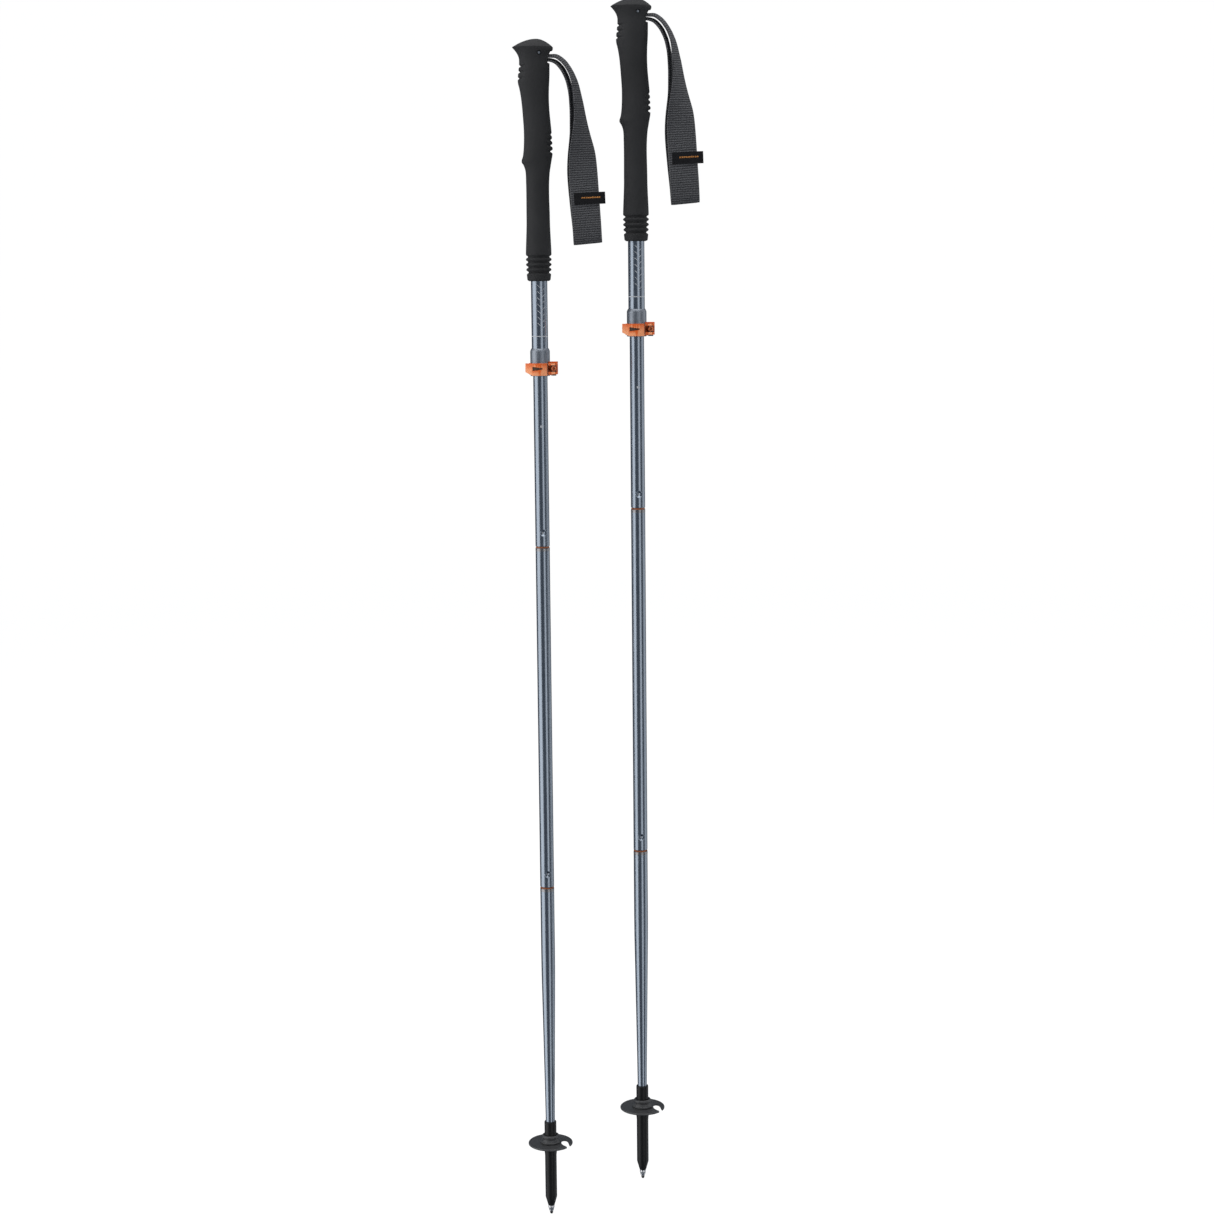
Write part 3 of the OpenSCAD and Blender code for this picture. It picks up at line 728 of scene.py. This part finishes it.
def build_lever(pole):
    outline = lever_outline()
    x = outline[:, 0]
    low = LEVER_LOW + np.clip((-7.5 - x) * 0.5, 0, 3.6) + 1.3 * (np.clip(x - 7, 0, 2) / 2)
    lever = prism(pole.name("clamp_lever_arm"), pole, outline, low, LEVER_HIGH)
    mark = prism("cutter", pole, mark_band(25.5, 23.1), *mark_edges(0.0))
    window = box_cutter(pole, (PIVOT[0] - 5.6, -20, WINDOW[0]), (PIVOT[0] + 9, 0, WINDOW[1]))
    bore = prism("cutter", pole, arc(PIVOT, 2.55, 0, 352.5, 48), LEVER_LOW - 3, LEVER_HIGH + 3)
    cut(lever, mark, window, bore)
    edge = lever.modifiers.new("rounded", "BEVEL")
    edge.width = 0.45 * MM
    edge.segments = 3
    edge.limit_method = "ANGLE"
    edge.angle_limit = math.radians(35)
    edge.harden_normals = True
    finish_mesh(lever)
    # The mark's floor is a dark sheet of painted shade at the bottom of the recess.
    floor = prism(pole.name("lever_mark_painted_shade"), pole, mark_band(23.25, 22.6), *mark_edges(0.15))
    dress(floor, pole, "lever", PAINTED_SHADE_BROWN, "clamp_orange")
    dress(lever, pole, "lever", ORANGE, "clamp_orange", "clamp_lever")
    # The window's walls take the dark brown as a second material, as painted shade inside the window.
    lever.data.materials.append(PAINTED_SHADE_BROWN)
    centre = np.zeros(len(lever.data.polygons) * 3)
    lever.data.polygons.foreach_get("center", centre)
    x, _, z = ((centre.reshape(-1, 3) - pole.origin) / MM).T
    inside = (z > WINDOW[0] - 0.02) & (z < WINDOW[1] + 0.02) & (x > PIVOT[0] - 5.62)
    lever.data.polygons.foreach_set("material_index", inside.astype(np.int32))
    return lever


def build_collar(pole):
    low, top = COLLAR_LOW, COLLAR_TOP
    collar = revolve("clamp_collar_body", pole, [
        (7.75, low + 0.2), (8.0, low), (9.4, low), (9.7, low + 0.3), (9.7, top - 2.6),
        (9.62, top - 2.3), (8.75, top - 0.25), (8.5, top), (8.13, top), (8.13, low + 14),
        (7.75, low + 13.8)], around=128, sharp_deg=30)
    return dress(collar, pole, "upper", COLLAR_GREY, "collar_grey", "clamp_collar")


def build_screw(pole):
    """A button head with a hexagonal socket, its shank, and a nut at the back."""
    front = PIVOT[1] - 1.83
    a = np.linspace(0, 2 * math.pi, 48, endpoint=False)
    hexagon = 1.25 / np.cos((a + math.pi / 6) % (math.pi / 3) - math.pi / 6)
    nut = 2.15 / np.cos((a + math.pi / 6) % (math.pi / 3) - math.pi / 6)
    rows = [(front - 1.0, hexagon * 0.98), (front - 2.3, hexagon), (front - 2.45, 0 * a + 1.75),
            (front - 2.3, 0 * a + 2.15), (front - 1.7, 0 * a + 2.55), (front - 0.1, 0 * a + 2.6),
            (front, 0 * a + 2.5), (front, 0 * a + 1.5), (front + 11.05, 0 * a + 1.5),
            (front + 11.05, nut), (front + 13.6, nut), (front + 13.6, 0 * a + 1.5),
            (front + 14.6, 0 * a + 1.4)]
    y = np.array([row[0] for row in rows])[:, None]
    r = np.array([row[1] for row in rows])
    rings = np.stack([PIVOT[0] + r * np.cos(a), y + 0 * a, SCREW_UP - r * np.sin(a)], -1)
    screw = ring_stack(pole.name("clamp_screw_head"), pole.place(rings), sharp_deg=30)
    return dress(screw, pole, "upper", SCREW_PAINTED_REFLECTION, "bright_steel", "clamp_screw")


for pole in POLES:
    build_lever(pole)
    build_collar(pole)
    build_screw(pole)
print("clamps built")

# %% [markdown]
# ## Tips and baskets
#
# The tip sleeve is a moulding with a long straight stretch for a rubber cap, a shoulder
# right under the basket and a short cone down to the steel. The basket is a disc with a low
# lip at its rim, a boss and a hub with a bead at its top. A round eye with a neck is cut out
# of the disc, and leaves the hook that holds the other pole when both are stowed.

# %% Tip pieces
def sleeve_profile():
    low, top = level("tip_sleeve", 0), level("tip_sleeve", 1)
    return [(2.63, low), (3.2, low), (3.4, low + 0.25), (5.75, low + 8.6), (5.75, low + 9.0),
            (5.95, low + 9.3), (6.05, low + 9.8), (6.05, low + 54.6), (6.5, low + 59.8),
            (6.6, low + 61), (6.6, low + 64.5), (6.4, low + 65), (6.2, low + 65.1),
            (6.2, top - 0.9), (6.05, top - 0.2), (5.8, top), (4.9, top),
            (4.83, top - 0.5), (4.83, low + 28.3), (2.63, low + 28.3)]


def ferrule_profile():
    low = level("tip_ferrule", 0)
    return [(1.23, low), (1.9, low), (2.2, low + 0.25), (3.1, low + 4), (3.2, low + 4.2),
            (3.2, low + 5.0), (3.0, low + 5.2), (3.2, low + 5.4), (3.2, low + 6.3), (2.6, low + 6.35),
            (2.6, low + 30), (1.23, low + 30)]


def point_profile():
    return [(0.01, 0.45), (0.5, 0.35), (0.85, 0.0), (1.15, 0.0), (1.7, 1.6), (1.7, 2.95),
            (1.2, 2.96), (1.2, 11.4), (0.01, 11.5)]


for pole in POLES:
    sleeve = revolve("tip_sleeve_body", pole, sleeve_profile(), sharp_deg=30)
    dress(sleeve, pole, "lower", HARD_BLACK, "sleeve_plastic", "tip_sleeve")
    ferrule = revolve("tip_ferrule_body", pole, ferrule_profile(), around=64, sharp_deg=30)
    dress(ferrule, pole, "lower", STEEL, "bright_steel", "tip_ferrule")
    point = revolve("tip_point_body", pole, point_profile(), around=48, loop=False, sharp_deg=30)
    dress(point, pole, "lower", CARBIDE, "carbide", "tip_point")
print("tips built")

# %% Baskets
BASKET_LOW = level("basket", 0)
RIM_LOW = BASKET_LOW + 1.7
SEAT = 6.25


def basket_profile():
    """From the bore's foot, out under the disc, round the rim with its low lip, in over the
    plate, up the boss, the hub's cone and the bead at the top. Boss and bead are undercut."""
    z = RIM_LOW
    return [(SEAT, BASKET_LOW), (6.9, BASKET_LOW), (7.05, BASKET_LOW + 0.2), (7.05, z - 0.3),
            (7.4, z), (21.8, z), (22.5, z + 0.1), (22.9, z + 0.4), (23.0, z + 0.9),
            (22.9, z + 1.5), (22.5, z + 1.9), (22.0, z + 2.0), (21.4, z + 1.9),
            (20.9, z + 1.5), (20.4, z + 1.35), (11.6, z + 1.5), (9.3, z + 1.5), (9.2, z + 2.3),
            (10.3, z + 2.5), (10.6, z + 2.8), (10.5, z + 3.4), (10.2, z + 3.6), (9.6, z + 3.8),
            (9.0, z + 4.6), (8.2, z + 6.0), (7.6, z + 6.5), (7.5, z + 7.2), (8.5, z + 7.5),
            (8.9, z + 7.9), (9.0, z + 8.6), (8.8, z + 9.3), (8.4, z + 9.8), (7.8, z + 10.15),
            (7.1, z + 10.2), (6.7, z + 9.8), (6.6, z + 8.4), (SEAT, z + 8.2)]


def hook_notch():
    """From above, counterclockwise: up the eye's hub side, round its top, down inside the hook."""
    corners = np.array([(26, -18), (20.6, -10.6), (19.6, -7), (18.9, -3), (18, 1.5),
                        (16.3, 4.8), (13.9, 5.6), (11.9, 4.3), (11.1, 1.2), (11.3, -2.6),
                        (12.1, -6.2), (13.8, -9.2), (15.9, -11.6), (17, -14.5), (18, -20)])
    run = np.concatenate([[0], np.cumsum(np.hypot(*np.diff(corners, axis=0).T))])
    even = np.linspace(0, run[-1], 70)
    return np.column_stack([smooth_curve(even, list(zip(run, corners[:, k]))) for k in (0, 1)])


def build_basket(pole):
    basket = revolve("basket_disc", pole, basket_profile(), around=192, sharp_deg=28)
    notch = prism("cutter", pole, hook_notch(), RIM_LOW - 3, RIM_LOW + 2.6)
    cut(basket, notch)
    basket.data.set_sharp_from_angle(angle=math.radians(28))
    return dress(basket, pole, "basket", BASKET_GREY, "basket_plastic", "basket")


for pole in POLES:
    build_basket(pole)
print("baskets built")

# %% [markdown]
# ## Wrist straps
#
# The strap is one length of webbing: it leaves the grip edge on, turns a quarter while it
# widens, hangs flat, folds at the bottom and comes back up behind. It is a thin rounded
# section carried along that path. Each row of the path gives where the middle is, how wide
# the webbing is there, and how far it has turned.

# %% Strap path
OUTER_LEG = [
    (7, 16.2, 0, 11, 16), (14.4, 16.4, 0, 11, 16), (19, 16.6, 0, 12, 17),
    (25, 20.2, 0, 13.5, 17), (31.5, 28.2, -0.6, 15.5, 15), (36.5, 39, -1.8, 17.6, 16),
    (40.3, 58, -3.6, 20.4, 22), (42.5, 79, -5.2, 22.6, 32), (43.2, 94, -6.2, 25, 47),
    (44.1, 111, -7, 27, 70), (44.8, 129, -7, 28, 84), (46.4, 158, -7, 28.3, 88),
    (48, 184, -6, 28.3, 90), (48.4, 193, -3.6, 28.3, 90)]
FOLD_ROW = [(48.6, 196.4, 0, 28.3, 90)]
INNER_LEG = [
    (48.4, 193, 3.6, 28.3, 90), (47.8, 184, 6, 28.3, 90), (45.2, 158, 7, 28.3, 88),
    (42.8, 129, 7, 28, 84), (42, 111, 7, 27, 67), (39.5, 94, 5.6, 24, 41),
    (36.5, 80, 4.2, 21, 22), (34.8, 64, 2.6, 18.6, 14), (33, 49, 1.2, 17.6, 12),
    (29.5, 36.4, 0.4, 15.5, 14), (24.5, 27.4, 0, 13.5, 17), (18.5, 21.8, 0, 12, 17),
    (14.4, 20.4, 0, 11, 16), (7, 19.8, 0, 11, 16)]
STRAP_THICK = 1.9


def strap_path(count=560):
    """The rows' columns as smooth curves of the length run so far, at even steps."""
    rows = np.array(OUTER_LEG + FOLD_ROW + INNER_LEG, float)
    run = np.concatenate([[0], np.cumsum(np.linalg.norm(np.diff(rows[:, :3], axis=0), axis=1))])
    along = np.linspace(0, run[-1], count)
    columns = [smooth_curve(along, list(zip(run, rows[:, k]))) for k in range(5)]
    return along, np.stack(columns, -1)


def strap_sections(half_width):
    """Flat sections with round edges, a row for each half width: across and out, in millimetres."""
    half = STRAP_THICK / 2
    side = np.linspace(-1, 1, 14)[1:-1]
    edge = np.linspace(math.pi / 2, -math.pi / 2, 9)
    across = np.concatenate([side, 1 + 0 * edge, side[::-1], -1 + 0 * edge])
    bulge = np.concatenate([0 * side, np.cos(edge), 0 * side, -np.cos(edge)])
    out = np.concatenate([1 + 0 * side, np.sin(edge), -1 + 0 * side, -np.sin(edge)])
    pad = np.where(np.abs(out) >= 1, 1.0 - 0.22 * (np.abs(across) > 0.86), 1.0)
    flat = half_width[:, None] - half
    return across * flat + bulge * half, out * half * pad + 0 * flat


def build_strap(pole):
    along, path = strap_path()
    centre = np.stack([path[:, 0], path[:, 2], GRIP_TOP - path[:, 1]], -1)
    forward = np.gradient(centre, axis=0)
    forward /= np.linalg.norm(forward, axis=1, keepdims=True)
    turn = np.radians(path[:, 4])
    ax, ay, az = np.abs(forward.T)
    side = np.stack([az + 0.6 * ay, 0 * ax, ax + 0.055 * ay], -1)
    side /= np.linalg.norm(side, axis=1, keepdims=True)
    wide = -np.sin(turn)[:, None] * side
    wide[:, 1] = -np.cos(turn)
    out = np.cross(wide, forward)
    out /= np.linalg.norm(out, axis=1, keepdims=True)
    across, lift = strap_sections(path[:, 3] / 2)
    rings = (centre[:, None] + across[..., None] * wide[:, None] + lift[..., None] * out[:, None])
    rings = rings[:, ::-1]
    across = across[:, ::-1]
    u = np.concatenate([across, across[:, :1]], 1) * MM
    v = np.repeat(along[:, None] * MM, u.shape[1], 1)
    strap = ring_stack(pole.name("wrist_strap_webbing"), pole.place(rings),
                       uv=np.stack([u, v], -1), sharp_deg=70)
    strap.data.materials.append(WEBBING)
    pole.name("upper")
    pole.name("strap")
    pole.place((11.5, 0, GRIP_TOP - 18.3))
    pole.place((21, 0, GRIP_TOP - 18.3))
    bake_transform(strap)
    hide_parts(pole.name("wrist_strap"))
    return strap


for pole in POLES:
    made = build_strap(pole)
    print(made.name, len(made.data.polygons), "faces")

# %% [markdown]
# ## Labels
#
# A narrow tape is folded round the strap's outer edge and sewn down. Its only mark is a
# plain orange bar of satin stitches.

# %% Labels
LABEL_LOW, LABEL_TALL = GRIP_TOP - 159, 11.5
LABEL_HALF = 0.22  # half the tape's thickness
LABEL_ROWS = 12
LABEL_TILT = math.radians(2)


def tilt(points):
    """Turns label points about the label's own middle, in the strap's plane."""
    middle = np.array([50.0, 0, LABEL_LOW + LABEL_TALL / 2])
    p = points - middle
    c, s = math.cos(LABEL_TILT), math.sin(LABEL_TILT)
    return np.stack([p[..., 0] * c - p[..., 2] * s, p[..., 1],
                     p[..., 0] * s + p[..., 2] * c], -1) + middle


def build_label(pole):
    """A folded ribbon: its middle line from above, thickened, and swept up the label."""
    front, back, right = -8.75, -4.7, 65.9
    r = (back - front) / 2
    bend = arc((right - r, (front + back) / 2), r, -90, 90, 10)
    bend[:, 1] = np.clip(bend[:, 1], front, back)
    line = np.vstack([[(35.6, front)], [(44, front)], [(52, front)], [(59, front)], bend,
                      [(57, back)], [(50, back)], [(46.6, back)]])
    tangent = np.gradient(line, axis=0)
    tangent /= np.linalg.norm(tangent, axis=1, keepdims=True)
    normal = np.stack([tangent[:, 1], -tangent[:, 0]], -1)
    run = np.concatenate([[0], np.cumsum(np.linalg.norm(np.diff(line, axis=0), axis=1))])
    up = np.linspace(0, LABEL_TALL, LABEL_ROWS)
    face = np.repeat([LABEL_HALF, -LABEL_HALF], LABEL_ROWS)
    height = np.concatenate([up, up[::-1]])
    xy = line[:, None] + normal[:, None] * face[None, :, None]
    z = LABEL_LOW + height + 0 * xy[..., 0]
    rings = tilt(np.concatenate([xy, z[..., None]], -1))
    u = np.repeat(np.append(height, 0)[None] * MM, len(line), 0)
    v = np.repeat(run[:, None] * MM, u.shape[1], 1)
    label = ring_stack(pole.name("strap_label_tape"), pole.place(rings),
                       uv=np.stack([u, v], -1), sharp_deg=50)
    return dress(label, pole, "strap", TAPE, "label_tape", "strap_label")


def capsules(name, pole, starts, ends, radius, around=6):
    """Short round threads from starts to ends: 4 rings each, the outer two nearly points."""
    starts, ends = np.asarray(starts, float), np.asarray(ends, float)
    along = ends - starts
    unit = along / np.linalg.norm(along, axis=1, keepdims=True)
    side = np.cross(unit, [0, 1.0, 0])
    side /= np.linalg.norm(side, axis=1, keepdims=True)
    up = np.cross(unit, side)
    a = np.linspace(0, 2 * math.pi, around, endpoint=False)
    spots = np.array([0.0, 0.18, 0.82, 1.0])
    width = np.array([0.25, 1.0, 1.0, 0.25]) * radius
    round_ = (np.cos(a)[:, None] * side[:, None, None] + np.sin(a)[:, None] * up[:, None, None])
    points = (starts[:, None, None] + along[:, None, None] * spots[None, :, None, None]
              + width[None, :, None, None] * round_)
    n, rows = points.shape[:2]
    faces = []
    for k in range(rows - 1):
        j = np.arange(around)
        base = np.arange(n)[:, None] * rows * around
        quad = np.stack([k * around + j, k * around + (j + 1) % around,
                         (k + 1) * around + (j + 1) % around, (k + 1) * around + j], -1)
        faces += (base[..., None] + quad[None]).reshape(-1, 4).tolist()
    ring = np.arange(around)
    base = np.arange(n)[:, None] * rows * around
    faces += (base + ring[::-1]).tolist() + (base + (rows - 1) * around + ring).tolist()
    return add_object(pole.name(name), pole.place(points.reshape(-1, 3)), faces, 60)


def build_stitches(pole):
    """The orange bar: slanted threads side by side, lying on the label's front."""
    x = np.arange(43.0, 61.6, 0.42)
    x = x[np.arange(len(x)) % 5 < 4]
    z = LABEL_LOW + 6.4
    y = -8.98
    starts = tilt(np.stack([x - 0.2, 0 * x + y, 0 * x + z - 0.75], -1))
    ends = tilt(np.stack([x + 0.2, 0 * x + y, 0 * x + z + 0.75], -1))
    bar = capsules("label_bar", pole, starts, ends, 0.2)
    return dress(bar, pole, "strap", THREAD, "clamp_orange")


for pole in POLES:
    build_label(pole)
    build_stitches(pole)
print("labels built")

# %% [markdown]
# ## Marks on the tubes
#
# The upper tube carries a thin ring below its print, and the slide tube a short limit mark.
# The print itself is a plain row of slanted bars that stands for no name.

# %% Tube marks
def patch(name, pole, radius, turn_deg, wide_deg, low, high, lean=0.0, thick=0.03):
    """A thin printed patch that follows the tube: a grid over an angle and a height."""
    a = np.radians(turn_deg + np.linspace(-wide_deg / 2, wide_deg / 2, 9))
    z = np.linspace(low, high, 5)[:, None]
    shear = np.radians(lean) * (z - low) / max(high - low, 1e-6)
    outer = np.stack([(radius + thick) * np.cos(a + shear), (radius + thick) * np.sin(a + shear),
                      z + 0 * a], -1)
    inner = np.stack([(radius - 0.1) * np.cos(a + shear), (radius - 0.1) * np.sin(a + shear),
                      z + 0 * a], -1)
    rings = np.concatenate([outer, inner[:, ::-1]], 1)
    return ring_stack(name, pole.place(rings), sharp_deg=30)


def joined(name, parts):
    """Several small meshes made one object, without the operators that need a context."""
    points, faces, start = [], [], 0
    for part in parts:
        mesh = part.data
        co = np.zeros(len(mesh.vertices) * 3)
        mesh.vertices.foreach_get("co", co)
        points.append(co.reshape(-1, 3))
        corner = np.zeros(len(mesh.loops), np.int32)
        first = np.zeros(len(mesh.polygons), np.int32)
        mesh.loops.foreach_get("vertex_index", corner)
        mesh.polygons.foreach_get("loop_start", first)
        faces += [face.tolist() for face in np.split(corner + start, first[1:])]
        start += len(mesh.vertices)
        bpy.data.objects.remove(part)
    return add_object(name, np.vstack(points), faces, 30)


def build_marks(pole):
    ring_up = COLLAR_TOP + 11.6
    ring = revolve("upper_ring_mark", pole, [
        (UPPER_R - 0.1, ring_up), (UPPER_R + 0.04, ring_up), (UPPER_R + 0.04, ring_up + 0.9),
        (UPPER_R - 0.1, ring_up + 0.9)], around=96, sharp_deg=30)
    dress(ring, pole, "upper", MARK, "bright_steel")
    bars = [patch(f"bar{k}", pole, UPPER_R, -76, 5, ring_up + 7 + 3.1 * k,
                  ring_up + 10.4 + 3.1 * k, lean=26 * (-1) ** k) for k in range(14)]
    dress(joined(pole.name("upper_print_bars"), bars), pole, "upper", MARK, "bright_steel")
    limit = patch(pole.name("slide_limit_mark"), pole, TUBE_R, -84, 20, HIGH_JOINT + 119,
                  HIGH_JOINT + 121.2)
    dress(limit, pole, "slide", MARK, "bright_steel")


for pole in POLES:
    build_marks(pole)
print("marks built")

# %% [markdown]
# ## Cord at the folds
#
# When a real joint folds, its cord bends round from one tube's mouth to the next tube's nose.
# The piece below does not bend: it is a short straight cord on the joint's axis, hidden at
# rest inside the tubes. Its rings are crowded into a short stretch just above the joint. At a
# full fold it cuts into the nose cone, and at the upper joint into the tubes' mouths and the
# socket too.

# %% Cords at the folds
CORD_R = 1.15
BEND_LOW, BEND_HIGH = 9.55, 10.15  # a stretch just above the joint, in millimetres


def build_fold_cord(pole, name, joint, upper, lower):
    """A straight cord on the axis, whose rings are dense in a short stretch above the joint."""
    z = np.unique(np.concatenate([np.linspace(joint + 4, joint + 9.5, 6),
                                  np.linspace(joint + 9.5, joint + 10.2, 90),
                                  np.linspace(joint + 10.2, joint + 15, 6)]))
    a = np.linspace(0, 2 * math.pi, 16, endpoint=False)
    strand = 1 + 0.05 * np.cos(4 * a)
    rings = np.stack([CORD_R * strand * np.cos(a) + 0 * z[:, None],
                      CORD_R * strand * np.sin(a) + 0 * z[:, None], z[:, None] + 0 * a], -1)
    cord = ring_stack(pole.name(name), pole.place(rings), sharp_deg=80)
    cord.data.materials.append(CORD)
    pole.name(lower)
    pole.name(upper)
    pole.place((0, 0, joint + BEND_LOW))
    pole.place((0, 0, joint + BEND_HIGH))
    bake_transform(cord)
    return cord


for pole in POLES:
    build_fold_cord(pole, "upper_fold_cord", HIGH_JOINT, "slide", "middle")
    build_fold_cord(pole, "lower_fold_cord", LOW_JOINT, "middle", "lower")
print("cords: 2 a pole")

# %% [markdown]
# ## Finishes for the pieces that stay as they are
#
# The inner pieces and the clamp's band already have their right shape from the CAD, so they
# only need a finish.

# %% CAD pieces' finishes
FINISHES = {
    "grip_core": HARD_BLACK, "strap_wedge": HARD_BLACK, "strap_pin": STEEL,
    "clamp_liner": WHITE_PLASTIC, "clamp_band": ORANGE, "clamp_barrel": CARBIDE,
    "guide_bush": WHITE_PLASTIC, "cable_anchor": BRASS, "tension_spring": STEEL,
    "upper_socket": SOCKET, "lower_socket": SOCKET, "upper_cable": CORD,
    "middle_cable": CORD, "lower_cable": CORD,
}
for pole in POLES:
    for piece, material in FINISHES.items():
        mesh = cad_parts[pole.name(piece)].data
        mesh.materials.clear()
        mesh.materials.append(material)
print("finishes on", len(FINISHES) * 2, "CAD pieces")

# %% [markdown]
# ## Stage and light
#
# The poles stand on a pale floor that curves up into a pale wall behind. Metal shows its
# shape through what it mirrors: a wide soft light on the left and a narrow one on the right
# draw the two bright lines down each tube, and the darker room in front draws the dark one
# between them.

# %% Floor and lights
def build_floor():
    """A bowl turned about the vertical: a flat middle, a quarter circle, and a wall."""
    flat, bend = 4.5, 1.2
    turn = np.linspace(0, math.pi / 2, 16)
    radius = np.concatenate([[flat], flat + bend * np.sin(turn[1:]), [flat + bend]])
    height = np.concatenate([[0], bend - bend * np.cos(turn[1:]), [7.0]])
    angle = np.linspace(0, 2 * math.pi, 96, endpoint=False)
    rings = np.stack([radius[:, None] * np.cos(angle), radius[:, None] * np.sin(angle),
                      height[:, None] + 0 * angle], -1)
    j, i = np.meshgrid(np.arange(96), np.arange(len(radius) - 1))
    k = (j + 1) % 96
    faces = np.stack([i * 96 + k, i * 96 + j, (i + 1) * 96 + j, (i + 1) * 96 + k], -1)
    faces = faces.reshape(-1, 4).tolist() + [list(range(96))]
    floor = add_object("floor", rings.reshape(-1, 3), faces)
    pale = new_material("floor", Base_Color=grey(0.1), Roughness=0.95, Specular_IOR_Level=0.0,
                        Emission_Color=grey(1.0), Emission_Strength=0.98)[0]
    floor.data.materials.append(pale)
    floor.visible_glossy = False
    floor.visible_diffuse = False
    floor.visible_shadow = False


def card(name, turn_deg, away, width, height, up, brightness):
    """A soft light stood round the poles: turn 0 is at the camera, and +90 is on the right.

    Its power follows from the brightness of its face, its area and pi.
    """
    data = bpy.data.lights.new(name, "AREA")
    data.shape = "RECTANGLE"
    data.size, data.size_y = width, height
    data.energy = brightness * math.pi * width * height
    light = bpy.data.objects.new(name, data)
    bpy.context.scene.collection.objects.link(light)
    turn = math.radians(turn_deg)
    light.location = (away * math.sin(turn), -away * math.cos(turn), up)
    light.rotation_euler = (math.pi / 2, 0, turn)
    light.visible_camera = False
    return light


build_floor()
card("soft_left", -73.5, 1.6, 1.74, 4.4, 0.6, 1.6)
card("strip_right", 29, 1.9, 0.88, 4.4, 0.6, 1.2)
card("fill_right", 102, 1.6, 1.5, 4.4, 0.6, 0.8)
top = card("top", 0, 0.2, 2.4, 2.4, 2.7, 2.0)
top.rotation_euler = (0, 0, 0)
world = bpy.data.worlds.new("world")
world.use_nodes = True
world.node_tree.nodes["Background"].inputs["Color"].default_value = (0.13, 0.15, 0.18, 1)
world.node_tree.nodes["Background"].inputs["Strength"].default_value = 1.0
bpy.context.scene.world = world
bpy.context.scene.view_settings.view_transform = "Standard"
print("stage set")
